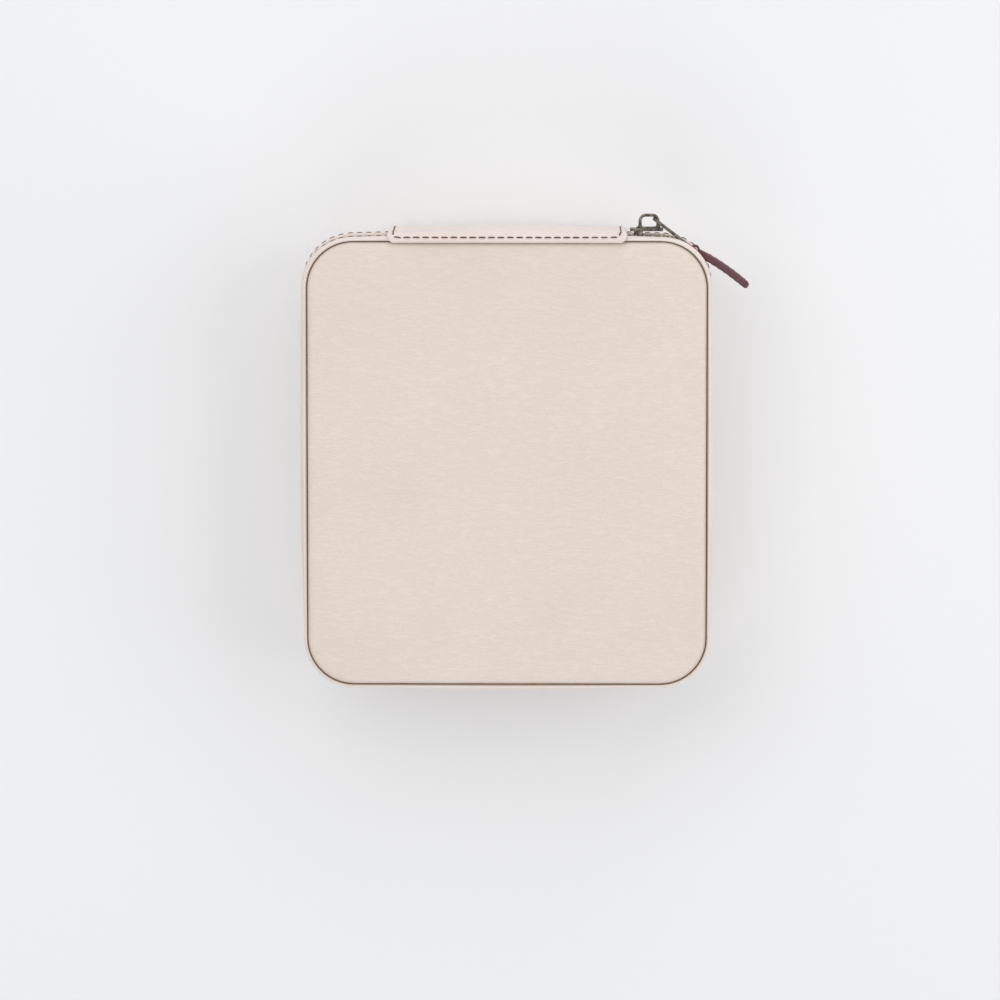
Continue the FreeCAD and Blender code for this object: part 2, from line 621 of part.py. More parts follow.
def pull_tab():
    """Folded leather pull: a loop round the link's end bar and a tapering tab with a round tip."""
    body = new_body("pull_tab")
    start, end = "(loop_radius + running_gap * 2)", "pull_length"
    points = mirrored([("0", "loop_half"), (start, "loop_half"),
                       (f"({start} + pull_flare)", "pull_half"),
                       (f"({end} - pull_half)", "pull_half"),
                       (f"({end} - pull_half * {TIP_LEAD})", f"pull_half * {TIP_WIDTH}"),
                       (end, f"pull_half * {TIP_LEAD}")])
    pad(body, polygon(body, "pull_outline", "XZ_Plane", points), "pull_thickness", middle=True)
    for name, radius, kind in (("loop", "loop_radius", pad), ("bore", "loop_bore", pocket)):
        sketch = new_sketch(body, "pull_" + name, "XY_Plane")
        sketch.addGeometry(Part.Circle(FreeCAD.Vector(), FreeCAD.Vector(0, 0, 1), 2.0))
        sketch.addConstraint(Sketcher.Constraint("Coincident", 0, 3, -1, 1))
        bind(sketch, "radius", Sketcher.Constraint("Radius", 0, 2.0), radius)
        if kind is pad:
            pad(body, sketch, "2 * loop_half", middle=True)
        else:
            pocket(body, sketch, "2 * loop_half")
    place(body, f"({PIVOT_X} + link_length * cos({LINK_ANGLE}))",
          f"({PIVOT_Y} - link_length * sin({LINK_ANGLE}))", "zip_height",
          f"({LINK_ANGLE} - pull_bend * 1 deg)")


shell_of(BASE, "-")
shell_of(LID, "+")
dividers()
ring_bank()
mirror()
zip_stops()
slider_body()
slider_bail()
puller_link()
pull_tab()
doc.recompute()

faults = [item.Label for item in doc.Objects if {"Invalid", "Error"} & set(item.State)]
faults += [item.Label for item in parts if item.Shape.isNull() or not item.Shape.isValid()]
if faults:
    raise SystemExit("failed objects: " + ", ".join(sorted(set(faults))))
os.makedirs("parts", exist_ok=True)
for item in parts:
    item.Shape.exportStep(os.path.join("parts", item.Label + ".step"))
    print(item.Label, "solids", len(item.Shape.Solids), "volume", round(item.Shape.Volume, 1))
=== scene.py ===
"""Looks of the zip-around leather jewelry case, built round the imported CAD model."""
import json
import math
from contextlib import contextmanager

import bmesh
import bpy
import numpy as np
from mathutils import Matrix, Vector


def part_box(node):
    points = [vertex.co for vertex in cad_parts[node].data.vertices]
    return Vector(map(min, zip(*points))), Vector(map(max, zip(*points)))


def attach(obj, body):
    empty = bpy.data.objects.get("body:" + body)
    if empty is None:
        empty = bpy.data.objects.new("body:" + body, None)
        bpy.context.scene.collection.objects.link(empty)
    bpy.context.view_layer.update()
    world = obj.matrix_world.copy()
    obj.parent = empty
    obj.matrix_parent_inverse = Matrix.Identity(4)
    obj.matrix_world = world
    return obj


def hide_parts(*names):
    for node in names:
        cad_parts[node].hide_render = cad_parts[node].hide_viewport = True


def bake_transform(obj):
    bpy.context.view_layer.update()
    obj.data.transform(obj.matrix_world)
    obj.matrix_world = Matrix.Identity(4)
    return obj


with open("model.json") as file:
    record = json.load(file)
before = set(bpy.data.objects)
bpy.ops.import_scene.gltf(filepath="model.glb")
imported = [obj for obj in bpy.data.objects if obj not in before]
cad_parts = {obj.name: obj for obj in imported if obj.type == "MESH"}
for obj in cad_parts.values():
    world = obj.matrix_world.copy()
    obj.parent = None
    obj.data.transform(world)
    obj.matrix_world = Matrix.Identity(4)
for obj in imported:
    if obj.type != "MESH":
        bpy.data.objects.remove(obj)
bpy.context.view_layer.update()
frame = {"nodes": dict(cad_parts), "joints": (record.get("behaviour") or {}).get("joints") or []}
NODES = frame["nodes"]
MM = 0.001

# Places and sizes that come from the frame.
JOINTS = {joint["name"]: joint for joint in frame["joints"]}
BASE_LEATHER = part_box("base_wall_leather")
LID_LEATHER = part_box("lid_wall_leather")
SEAM_GAP = 0.2 * MM
TOP = LID_LEATHER[1].z
LID_EDGE = LID_LEATHER[0].z
BASE_EDGE = BASE_LEATHER[1].z
BOTTOM = BASE_LEATHER[0].z
ZIP_Z = JOINTS["slider_run"]["pos_m"][2]
SEAM_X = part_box("lid_panel_leather")[1].x + SEAM_GAP
SEAM_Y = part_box("lid_panel_leather")[1].y + SEAM_GAP
SPINE_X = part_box("spine_patch_lid")[1].x

# Sizes of the looks.
SEAM_RADIUS = 17.3 * MM
WALL_BOW = 1.5 * MM          # extra bulge at the middle of each side
BASE_TAPER = 1.4 * MM        # how much further in the base's seam lies than the lid's
SIDE_STEPS = 48
CORNER_STEPS = 16
COLUMNS = 4 * (SIDE_STEPS + CORNER_STEPS)    # points in one outline round the case
EDGE_SEGMENTS = 3            # fineness of a rounded edge
STITCH_PITCH = 3.5 * MM
STITCH_LENGTH = 2.6 * MM
THREAD = 0.27 * MM
COIL_PITCH = 1.6 * MM
COIL_OUT = 0.55 * MM         # how far the coil stands outside the seam
COIL_WIRE = 0.30 * MM        # half thickness of the coil's wire
COIL_SLANT = 0.35 * MM       # how far a turn runs on along the zip


# ---------------------------------------------------------------- materials

class Shader:
    """Builds one procedural material, node by node, in the row frame's coordinates."""

    def __init__(self, name, roughness=0.5, metallic=0.0, sheen=0.0, specular=0.5):
        self.material = bpy.data.materials.new(name)
        self.material.use_nodes = True
        self.tree = self.material.node_tree
        self.bsdf = self.tree.nodes["Principled BSDF"]
        self.fill(self.bsdf, {"Roughness": roughness, "Metallic": metallic,
                              "Specular IOR Level": specular})
        if sheen:
            self.fill(self.bsdf, {"Sheen Weight": sheen, "Sheen Roughness": 0.45})
        self.place = self.node("ShaderNodeTexCoord", {}).outputs["Object"]

    def fill(self, node, inputs):
        """Links or sets a node's inputs, each given by its name or number."""
        for socket, value in inputs.items():
            if isinstance(value, bpy.types.NodeSocket):
                self.tree.links.new(value, node.inputs[socket])
            else:
                node.inputs[socket].default_value = value

    def node(self, kind, inputs, **settings):
        made = self.tree.nodes.new(kind)
        for key, value in settings.items():
            setattr(made, key, value)
        self.fill(made, inputs)
        return made

    def stretched(self, scale, place=None):
        inputs = {"Vector": place or self.place, "Scale": scale}
        return self.node("ShaderNodeMapping", inputs).outputs["Vector"]

    def noise(self, scale, detail=2.0, place=None, rough=0.5):
        inputs = {"Vector": place or self.place, "Scale": scale, "Detail": detail,
                  "Roughness": rough}
        return self.node("ShaderNodeTexNoise", inputs).outputs["Fac"]

    def wave(self, scale, distortion, detail_scale=1.0):
        """Slanted bands."""
        inputs = {"Vector": self.place, "Scale": scale, "Distortion": distortion, "Detail": 2.0,
                  "Detail Scale": detail_scale}
        return self.node("ShaderNodeTexWave", inputs, wave_type="BANDS",
                         bands_direction="DIAGONAL").outputs["Fac"]

    def vector_math(self, operation, inputs):
        return self.node("ShaderNodeVectorMath", inputs, operation=operation).outputs[0]

    def warped(self, scale, amount):
        """The place, pushed about by a colour noise, so that cells lose their regular look."""
        cloud = self.node("ShaderNodeTexNoise", {"Vector": self.place, "Scale": scale})
        centred = self.vector_math("SUBTRACT", {0: cloud.outputs["Color"], 1: (0.5, 0.5, 0.5)})
        scaled = self.vector_math("SCALE", {0: centred, "Scale": amount})
        return self.vector_math("ADD", {0: self.place, 1: scaled})

    def cells(self, scale, place=None):
        inputs = {"Vector": place or self.place, "Scale": scale}
        return self.node("ShaderNodeTexVoronoi", inputs,
                         feature="DISTANCE_TO_EDGE").outputs["Distance"]

    def math(self, operation, first, second):
        return self.node("ShaderNodeMath", {0: first, 1: second}, operation=operation).outputs[0]

    def ramp(self, value, low, high, out_low=0.0, out_high=1.0):
        inputs = {"Value": value, "From Min": low, "From Max": high, "To Min": out_low,
                  "To Max": out_high}
        return self.node("ShaderNodeMapRange", inputs,
                         interpolation_type="SMOOTHSTEP").outputs["Result"]

    def blend(self, share, first, second):
        inputs = {"Factor": share, 6: first, 7: second}
        return self.node("ShaderNodeMix", inputs, data_type="RGBA").outputs[2]

    def attribute(self, name):
        return self.node("ShaderNodeAttribute", {}, attribute_name=name).outputs["Fac"]

    def bump(self, height, distance, strength, after=None):
        inputs = {"Height": height, "Distance": distance, "Strength": strength}
        if after is not None:
            inputs["Normal"] = after
        return self.node("ShaderNodeBump", inputs).outputs["Normal"]

    def finish(self, colour, normal, roughness=None):
        looks = {"Base Color": colour, "Normal": normal, "Roughness": roughness}
        self.fill(self.bsdf, {name: value for name, value in looks.items() if value is not None})
        return self.material


def rgb(red, green, blue):
    """A display colour, 0 to 255, as a linear RGBA."""
    linear = [((v / 255 + 0.055) / 1.055) ** 2.4 if v > 10 else v / 3294.6 for v in (red, green, blue)]
    return (*linear, 1.0)


def grained_leather(name, colour, dark, shade_and_edge_colour, grain=1.0, roughness=0.5):
    """Pebbled leather: warped cells, fine pores and long soft wrinkles across the hide."""
    s = Shader(name, specular=0.38)
    warped = s.warped(240.0, 0.0016)
    wrinkle = s.noise(1.0, 3.0, s.stretched((250.0, 1150.0, 700.0), warped), 0.58)
    fold = s.ramp(wrinkle, 0.41, 0.59)
    pebble = s.ramp(s.cells(1.0, s.stretched((760.0, 1250.0, 1000.0), warped)), 0.0, 0.36)
    pores = s.noise(4200.0, 3.0, None, 0.6)
    patch = s.noise(22.0, 2.0)
    height = s.math("ADD", s.math("MULTIPLY", pebble, 0.38), s.math("MULTIPLY", fold, 0.75))
    height = s.math("ADD", height, s.math("MULTIPLY", pores, 0.16))
    normal = s.bump(height, 0.00017 * grain, 0.60)
    normal = s.bump(s.noise(60.0, 2.0), 0.0010, 0.15, normal)
    base = s.blend(s.ramp(patch, 0.3, 0.75), colour, dark)
    # Painted shade in the grain's hollows: low places blend a little toward the crease colour, which
    # on the burgundy leather is its lighter edge-paint colour.
    shade = s.math("MULTIPLY", s.ramp(height, 0.15, 0.95, 1.0, 0.0), 0.06)
    base = s.blend(shade, base, shade_and_edge_colour)
    # Painted shade in the seams, stitch dips and hidden inner faces of the cream leathers, and the
    # edge paint of the pull, both read from the points' attribute.
    base = s.blend(s.attribute("shade_and_edge_paint"), base, shade_and_edge_colour)
    rough = s.ramp(s.math("ADD", wrinkle, s.math("MULTIPLY", patch, 0.5)), 0.4, 1.0,
                   roughness - 0.03, roughness + 0.05)
    return s.finish(base, normal, rough)


def suede(name, colour, dark):
    """Napped microsuede: soft sheen, brushed streaks and a fine fibre."""
    s = Shader(name, roughness=0.95, sheen=0.6, specular=0.2)
    fibre = s.noise(1.0, 3.0, s.stretched((2600.0, 1300.0, 1900.0)), 0.7)
    brushed = s.noise(1.0, 2.0, s.stretched((34.0, 90.0, 60.0)))
    base = s.blend(s.ramp(brushed, 0.32, 0.7), colour, dark)
    base = s.blend(s.math("MULTIPLY", s.ramp(fibre, 0.3, 0.62, 1.0, 0.0), 0.35), base, dark)
    return s.finish(base, s.bump(fibre, 0.00022, 0.55))


def woven_tape(name, colour, dark):
    """Twill tape of the zip: fine ribs that cross the tape at a slant."""
    s = Shader(name, roughness=0.8, sheen=0.3, specular=0.3)
    ribs = s.wave(520.0, 1.2, 2.0)
    height = s.math("ADD", s.math("MULTIPLY", ribs, 0.7), s.noise(3000.0, 2.0))
    base = s.blend(s.ramp(ribs, 0.1, 0.9, 0.7, 0.0), colour, dark)
    return s.finish(base, s.bump(height, 0.00018, 0.6))


def thread(name, colour, dark):
    """Twisted sewing thread: slanted strands with a soft shine."""
    s = Shader(name, roughness=0.55, sheen=0.25, specular=0.4)
    twist = s.wave(900.0, 0.6)
    base = s.blend(s.ramp(twist, 0.1, 0.8, 0.8, 0.0), colour, dark)
    base = s.blend(s.ramp(s.noise(160.0), 0.35, 0.7, 0.0, 0.5), base, dark)
    return s.finish(base, s.bump(twist, 0.00012, 0.7))


def antique_metal(name):
    """Cast zinc with an antiqued nickel plate: worn bright on top and dark in the hollows."""
    s = Shader(name, metallic=1.0, specular=0.5)
    cloud = s.noise(420.0, 4.0, None, 0.65)
    fine = s.noise(2400.0, 3.0)
    base = s.blend(s.ramp(cloud, 0.36, 0.64), rgb(86, 78, 72), rgb(150, 141, 131))
    base = s.blend(s.ramp(fine, 0.55, 0.75, 0.0, 0.35), base, rgb(50, 42, 38))
    rough = s.ramp(cloud, 0.3, 0.7, 0.44, 0.24)
    height = s.math("ADD", s.math("MULTIPLY", cloud, 0.6), s.math("MULTIPLY", fine, 0.4))
    return s.finish(base, s.bump(height, 0.00010, 0.35), rough)


def nylon(name, colour, dark):
    """Dyed nylon of the zip's coil."""
    s = Shader(name, roughness=0.38, specular=0.5)
    base = s.blend(s.ramp(s.noise(600.0, 2.0), 0.35, 0.7), colour, dark)
    return s.finish(base, s.bump(s.noise(3600.0), 0.00006, 0.4))


def silvered_glass(name):
    """Mirror with a trace of wiping marks."""
    s = Shader(name, metallic=1.0, specular=0.5)
    smear = s.noise(1.0, 3.0, s.stretched((26.0, 60.0, 40.0)))
    base = s.blend(s.ramp(smear, 0.4, 0.75), rgb(244, 247, 247), rgb(241, 244, 245))
    return s.finish(base, None, s.ramp(smear, 0.35, 0.8, 0.015, 0.025))


def greyboard(name):
    """Pressed fibre board of the stiffeners."""
    s = Shader(name, roughness=0.9, specular=0.2)
    fibre = s.noise(1.0, 4.0, s.stretched((900.0, 300.0, 900.0)), 0.7)
    base = s.blend(s.ramp(fibre, 0.35, 0.65), rgb(168, 158, 140), rgb(142, 131, 114))
    return s.finish(base, s.bump(fibre, 0.00015, 0.5))


def open_foam(name):
    """Cut foam with open pores."""
    s = Shader(name, roughness=0.9, specular=0.2)
    pore = s.ramp(s.cells(900.0), 0.0, 0.3)
    base = s.blend(pore, rgb(190, 186, 172), rgb(228, 225, 214))
    return s.finish(base, s.bump(pore, 0.0003, 0.6))


def studio_floor(name):
    """Plain pale studio surface."""
    s = Shader(name, roughness=0.75, specular=0.15)
    base = s.blend(s.ramp(s.noise(2.2, 2.0), 0.35, 0.7), rgb(243, 243, 244), rgb(241, 241, 242))
    return s.finish(base, s.bump(s.noise(700.0, 2.0), 0.00005, 0.2))


CREAM = rgb(233, 219, 208)
CREAM_DARK = rgb(230, 215, 203)
# Dark colour of the painted shade in the cream leathers' grain, seams and recesses.
CREAM_PAINTED_SHADE = rgb(168, 148, 132)
M = {
    "cream": grained_leather("cream_leather", CREAM, CREAM_DARK, CREAM_PAINTED_SHADE),
    # Rims, spine patch and mirror frame: a smoother grain and a little less roughness, which the
    # leather has, and a lighter tint than the face's, which is painted light.
    "cream_smooth_lit": grained_leather("cream_leather_rim_lit", rgb(239, 228, 220), rgb(234, 220, 211),
                                    CREAM_PAINTED_SHADE, 0.7, 0.46),
    "burgundy": grained_leather("burgundy_leather", rgb(96, 58, 66), rgb(78, 44, 52),
                                rgb(104, 68, 74), 0.5, 0.42),
    "suede": suede("cream_suede", rgb(221, 205, 192), rgb(212, 194, 180)),
    "suede_roll": suede("cream_suede_roll", rgb(226, 211, 199), rgb(215, 198, 185)),
    "tape": woven_tape("zip_tape_weave", rgb(231, 217, 206), rgb(206, 188, 174)),
    "thread": thread("burgundy_thread", rgb(120, 62, 66), rgb(82, 36, 42)),
    "thread_cream": thread("cream_thread", rgb(236, 224, 214), rgb(206, 188, 174)),
    "metal": antique_metal("antique_nickel"),
    "coil": nylon("zip_coil_nylon", rgb(232, 219, 208), rgb(216, 200, 187)),
    "mirror": silvered_glass("mirror_silver"),
    "board": greyboard("stiffener_board"),
    "foam": open_foam("panel_foam"),
    "floor": studio_floor("studio_floor"),
}


# ---------------------------------------------------------------- mesh helpers

def placed(name, data):
    """A new object in the scene."""
    made = bpy.data.objects.new(name, data)
    bpy.context.scene.collection.objects.link(made)
    return made


@contextmanager
def edited(mesh):
    """The mesh as a bmesh, which is written back afterwards."""
    work = bmesh.new()
    work.from_mesh(mesh)
    yield work
    work.to_mesh(mesh)
    work.free()


def applied(piece):
    """A mesh of the piece with its modifiers or its curve's settings applied."""
    bpy.context.view_layer.update()
    graph = bpy.context.evaluated_depsgraph_get()
    return bpy.data.meshes.new_from_object(piece.evaluated_get(graph))


def circle(sides, power=1.0):
    """Cosine and sine round a circle; a power below 1 makes it squarer."""
    spots = []
    for side in range(sides):
        turn = 2 * math.pi * side / sides
        spots.append(tuple(math.copysign(abs(value) ** power, value)
                           for value in (math.cos(turn), math.sin(turn))))
    return spots


def new_piece(name, verts, faces, material, smooth=True):
    mesh = bpy.data.meshes.new(name)
    mesh.from_pydata([tuple(v) for v in verts], [], [tuple(f) for f in faces])
    mesh.update()
    mesh.materials.append(M[material])
    if smooth:
        mesh.polygons.foreach_set("use_smooth", [True] * len(mesh.polygons))
    return placed(name, mesh)


def outward_faces(piece):
    """Turns every face of a closed piece outward."""
    with edited(piece.data) as work:
        bmesh.ops.recalc_face_normals(work, faces=work.faces)
    return piece


def grid_faces(rows, columns, wrap_columns=False, wrap_rows=False, first=0):
    """Quads of a grid of points stored row by row."""
    faces = []
    for i in range(rows if wrap_rows else rows - 1):
        for j in range(columns if wrap_columns else columns - 1):
            a, b = i * columns + j, i * columns + (j + 1) % columns
            c, d = ((i + 1) % rows) * columns + (j + 1) % columns, ((i + 1) % rows) * columns + j
            faces.append((first + a, first + b, first + c, first + d))
    return faces


def capped_faces(rows, columns):
    """Faces of a tube stored ring by ring, with a flat cap on each end."""
    return grid_faces(rows, columns, wrap_columns=True) + [
        tuple(range(columns))[::-1], tuple(range((rows - 1) * columns, rows * columns))]


def dress(piece, body, slot, *nodes):
    """Rides a piece on a body and hides the CAD nodes it stands for; the slot is not used."""
    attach(piece, body)
    if nodes:
        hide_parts(*nodes)
    return piece


# How full the bulge still is at the start and the end of each side: right, back, left, front.
SIDE_ENDS = [(0.12, 0.35), (0.05, 0.05), (0.7, 0.12), (0.12, 0.12)]
CORNER_FULLNESS = [0.25, 0.1, 0.1, 0.1]    # more bulge at the middle of the corner after each side


def bulge_at(side, share):
    """Share of the bulge at a place along a side, -1 at its start and 1 at its end."""
    at_end = SIDE_ENDS[side][0 if share < 0 else 1]
    return at_end + (1 - at_end) * max(math.cos(share * math.pi / 2), 0.0) ** 1.2


def corner_bulge(side, share):
    """Share of the bulge round the corner that follows a side."""
    first, last = SIDE_ENDS[side][1], SIDE_ENDS[(side + 1) % 4][0]
    more = CORNER_FULLNESS[side] * math.sin(math.pi * share) ** 2
    return first + (last - first) * share * share * (3 - 2 * share) + more


def outline(outward, bow=0.0):
    """Points and normals of the rounded outline, anticlockwise from the right side's front end."""
    half_x, half_y = SEAM_X + outward, SEAM_Y + outward
    radius = max(SEAM_RADIUS + outward, 0.4 * MM)
    flat_x, flat_y = half_x - radius, half_y - radius
    centres = [(flat_x, flat_y), (-flat_x, flat_y), (-flat_x, -flat_y), (flat_x, -flat_y)]
    points, normals = [], []
    for side in range(4):
        angle = side * math.pi / 2
        ahead = Vector((-math.sin(angle), math.cos(angle)))
        out = Vector((math.cos(angle), math.sin(angle)))
        half_run, reach = (flat_y, half_x) if side % 2 == 0 else (flat_x, half_y)
        for step in range(SIDE_STEPS):
            share = 2 * step / SIDE_STEPS - 1
            points.append(out * (reach + bow * bulge_at(side, share)) + ahead * half_run * share)
            normals.append(out)
        centre = Vector(centres[side])
        for step in range(CORNER_STEPS):
            share = step / CORNER_STEPS
            turn = angle + share * math.pi / 2
            direction = Vector((math.cos(turn), math.sin(turn)))
            points.append(centre + direction * (radius + bow * corner_bulge(side, share)))
            normals.append(direction)
    return points, normals


def ring(height, outward, bow=0.0):
    """The outline's points at a height."""
    return [(p.x, p.y, height) for p in outline(outward, bow)[0]]


def sweep_round(name, stations, material, closed=False, shade_shares=None):
    """Skin round the case through stations of (height, outward, bow), with each station's share of
    painted shade given last.
    """
    verts = [spot for station in stations for spot in ring(*station)]
    faces = grid_faces(len(stations), COLUMNS, wrap_columns=True, wrap_rows=closed)
    piece = new_piece(name, verts, faces, material)
    set_shade_and_edge_paint(piece, np.repeat(shade_shares if shade_shares else [0.0] * len(stations), COLUMNS))
    return outward_faces(piece)


# Each point's share of the crease colour: painted shade on the cream leathers, edge paint on the pull.
def set_shade_and_edge_paint(piece, values):
    attribute = piece.data.attributes.new("shade_and_edge_paint", "FLOAT", "POINT")
    attribute.data.foreach_set("value", np.asarray(values, np.float32))


def tube_template(rings, sides):
    """Faces of a closed tube: rings of points and then its two end points."""
    faces = grid_faces(rings, sides, wrap_columns=True)
    first_tip, last_tip = rings * sides, rings * sides + 1
    last = (rings - 1) * sides
    for side in range(sides):
        following = (side + 1) % sides
        faces.append((first_tip, following, side))
        faces.append((last_tip, last + side, last + following))
    return faces


def stitch_row(name, places, material, length=STITCH_LENGTH, radius=THREAD):
    """Thread stitches, each given by its middle, its direction and the surface's normal."""
    rings, sides = 7, 8
    template = tube_template(rings, sides)
    verts, faces = [], []
    for middle, along, normal in places:
        along = along.normalized()
        normal = (normal - along * normal.dot(along)).normalized()
        across = along.cross(normal)
        first = len(verts)
        for ring_number in range(rings):
            share = ring_number / (rings - 1) * 2 - 1
            lift = radius * (0.75 - 1.5 * share ** 4)
            girth = radius * (1.0 - 0.25 * share ** 2)
            centre = middle + along * (share * length / 2) + normal * lift
            for c, s in circle(sides):
                verts.append(centre + (across * c + normal * s * 0.85) * girth)
        for share in (-1, 1):
            verts.append(middle + along * (share * (length / 2 + radius * 0.3)) - normal * radius)
        faces += [tuple(first + index for index in face) for face in template]
    return outward_faces(new_piece(name, verts, faces, material))


def walk(points, normals, pitch, wanted=lambda place: True, start=0.5, closed=True):
    """Stitch places along a line of points, evenly spaced; wanted says where they are kept."""
    count = len(points)
    spans = []
    for index in range(count if closed else count - 1):
        a, b = points[index], points[(index + 1) % count]
        spans.append((a, b, normals[index], normals[(index + 1) % count], (b - a).length))
    total = sum(span[4] for span in spans)
    number = int(total / pitch)
    step = total / number
    places, index, passed = [], 0, 0.0
    for place_number in range(number):
        goal = (place_number + start) * step
        while passed + spans[index][4] < goal:
            passed += spans[index][4]
            index += 1
        a, b, normal_a, normal_b, length = spans[index]
        share = (goal - passed) / length
        place = a.lerp(b, share)
        if wanted(place):
            places.append((place, (b - a), normal_a.lerp(normal_b, share)))
    return places


def flat_part(name, outlines, thickness, bevel, matrix):
    """Flat metal part with holes: closed outlines in its own plane, rounded edges, put in place."""
    curve = bpy.data.curves.new(name + "_curve", "CURVE")
    curve.dimensions = "2D"
    curve.fill_mode = "BOTH"
    curve.extrude = thickness / 2 - bevel
    curve.bevel_depth = bevel
    curve.bevel_resolution = EDGE_SEGMENTS
    curve.offset = -bevel
    for points in outlines:
        spline = curve.splines.new("POLY")
        spline.points.add(len(points) - 1)
        for point, (x, y) in zip(spline.points, points):
            point.co = (x, y, 0, 1)
        spline.use_cyclic_u = True
    holder = placed(name + "_holder", curve)
    mesh = applied(holder)
    bpy.data.objects.remove(holder)
    mesh.transform(matrix)
    with edited(mesh) as work:
        bmesh.ops.remove_doubles(work, verts=work.verts, dist=1e-7)
        bmesh.ops.recalc_face_normals(work, faces=work.faces)
    return mesh_piece(name, mesh, "metal", 40.0)


def shade_by_angle(piece, angle):
    """Smooth shading that keeps the edges over an angle in degrees sharp."""
    piece.data.polygons.foreach_set("use_smooth", [True] * len(piece.data.polygons))
    piece.data.set_sharp_from_angle(angle=math.radians(angle))
    return piece


def rounded_polygon(points, radius, steps=6):
    """A polygon with each corner replaced by an arc."""
    result = []
    count = len(points)
    for index in range(count):
        corner = Vector(points[index])
        before = (Vector(points[index - 1]) - corner)
        after = (Vector(points[(index + 1) % count]) - corner)
        turn = before.angle(after)
        reach = min(radius / math.tan(turn / 2), before.length * 0.48, after.length * 0.48)
        start, end = corner + before.normalized() * reach, corner + after.normalized() * reach
        for step in range(steps + 1):
            share = step / steps
            result.append(tuple(start.lerp(corner, share).lerp(corner.lerp(end, share), share)))
    return result


def mesh_piece(name, mesh, material, angle):
    """A piece with a finished mesh; edges over an angle in degrees stay sharp."""
    mesh.name = name
    mesh.materials.clear()
    mesh.materials.append(M[material])
    return shade_by_angle(placed(name, mesh), angle)


def softened(name, node, bevel, material):
    """A copy of a CAD node's solid with rounded edges."""
    mesh = NODES[node].data.copy()
    with edited(mesh) as work:
        bmesh.ops.remove_doubles(work, verts=work.verts, dist=1e-6)
        bmesh.ops.dissolve_limit(work, angle_limit=math.radians(1.0), verts=work.verts,
                                 edges=work.edges)
        sharp = [edge for edge in work.edges if len(edge.link_faces) == 2
                 and edge.calc_face_angle() > math.radians(30)]
        bmesh.ops.bevel(work, geom=sharp, offset=bevel, segments=EDGE_SEGMENTS, profile=0.5,
                        affect="EDGES", clamp_overlap=True)
    return mesh_piece(name, mesh, material, 35.0)


CLOTH_VOXEL = 1.6 * MM
CLOTH_PRESSURE = 3.0
CLOTH_FRAMES = 20
SWELL = 0.45 * MM            # the furthest that the cloth may swell


def puff(piece):
    """Fills a soft piece by cloth simulation: it swells by up to SWELL, and the result is applied."""
    body = placed(piece.name + "_sim", piece.data.copy())
    bpy.context.view_layer.objects.active = body
    remesh = body.modifiers.new("remesh", "REMESH")
    remesh.mode = "VOXEL"
    remesh.voxel_size = CLOTH_VOXEL
    body.data = applied(body)
    body.modifiers.clear()
    rest = np.array([v.co for v in body.data.vertices], float)
    cloth = body.modifiers.new("cloth", "CLOTH")
    cloth.settings.use_pressure = True
    cloth.settings.uniform_pressure_force = CLOTH_PRESSURE
    cloth.settings.effector_weights.gravity = 0
    cloth.settings.quality = 6
    cloth.point_cache.frame_start = 1
    cloth.point_cache.frame_end = CLOTH_FRAMES
    scene = bpy.context.scene
    for number in range(1, CLOTH_FRAMES + 1):
        scene.frame_set(number)
    swollen = body.evaluated_get(bpy.context.evaluated_depsgraph_get())
    shift = np.array([v.co for v in swollen.data.vertices], float) - rest
    size = np.linalg.norm(shift, axis=1)
    shift *= np.minimum(1.0, SWELL / np.maximum(size, 1e-9))[:, None]
    body.modifiers.clear()
    body.data.vertices.foreach_set("co", (rest + shift).astype(np.float32).ravel())
    body.data.update()
    scene.frame_set(1)
    filled = body.data.copy()
    bpy.data.objects.remove(body)
    filled.materials.clear()
    for material in piece.data.materials:
        filled.materials.append(material)
    filled.polygons.foreach_set("use_smooth", [True] * len(filled.polygons))
    name = piece.data.name
    piece.data = filled
    filled.name = name
    smooth = piece.modifiers.new("smooth", "SMOOTH")
    smooth.factor = 0.5
    smooth.iterations = 3


# ---------------------------------------------------------------- case shells

def level(half, depth):
    """Height of a depth inside the outer face of the lid or the base."""
    return TOP - depth if half == "lid" else BOTTOM + depth


def wall_depth(half):
    return TOP - LID_EDGE if half == "lid" else BASE_EDGE - BOTTOM


# Section of the wall's leather in millimetres: depth below the face, distance outside the seam.
SECTIONS = {
    "lid": [(0.55, 0.42), (0.12, 0.85), (0.16, 1.18), (0.55, 1.38), (1.05, 1.46), (1.4, 1.47),
            (2.0, 1.50), (3.2, 1.54), (5.0, 1.52), (8.0, 1.42), (12.0, 1.26), (15.0, 1.10)],
    "base": [(0.55, -1.0), (0.12, -0.62), (0.20, -0.38), (0.6, -0.2), (1.05, -0.12), (1.4, -0.1),
             (2.0, -0.02), (4.0, 0.2), (8.0, 0.6), (13.0, 1.05), (20.0, 1.5), (27.0, 1.68)],
}
FULL_BOW_DEPTH = 5.0 * MM
SHOULDER_PAINTED_SHADE = (0.6, 0, 0, 0, 0.05, 0.1)    # painted shade at a section's first six points: in the seam, and a little on the bead's outer side
STITCH_DEPTH_FROM_EDGE = 2.1 * MM
STITCH_DIP = 0.10 * MM
BOARD_INSIDE = 0.35 * MM     # from the leather's outer face to the board

# The leather's turned-in edge, in millimetres: above the edge, inside the wall, and painted shade
# where it turns in.
TURNED_EDGE = [(0.55, 0.02, 0.0), (0.28, 0.08, 0.0), (0.08, 0.22, 0.0), (0.0, 0.45, 0.0),
               (0.0, 0.8, 0.15), (0.0, 1.9, 0.4), (2.0, 2.0, 0.5)]

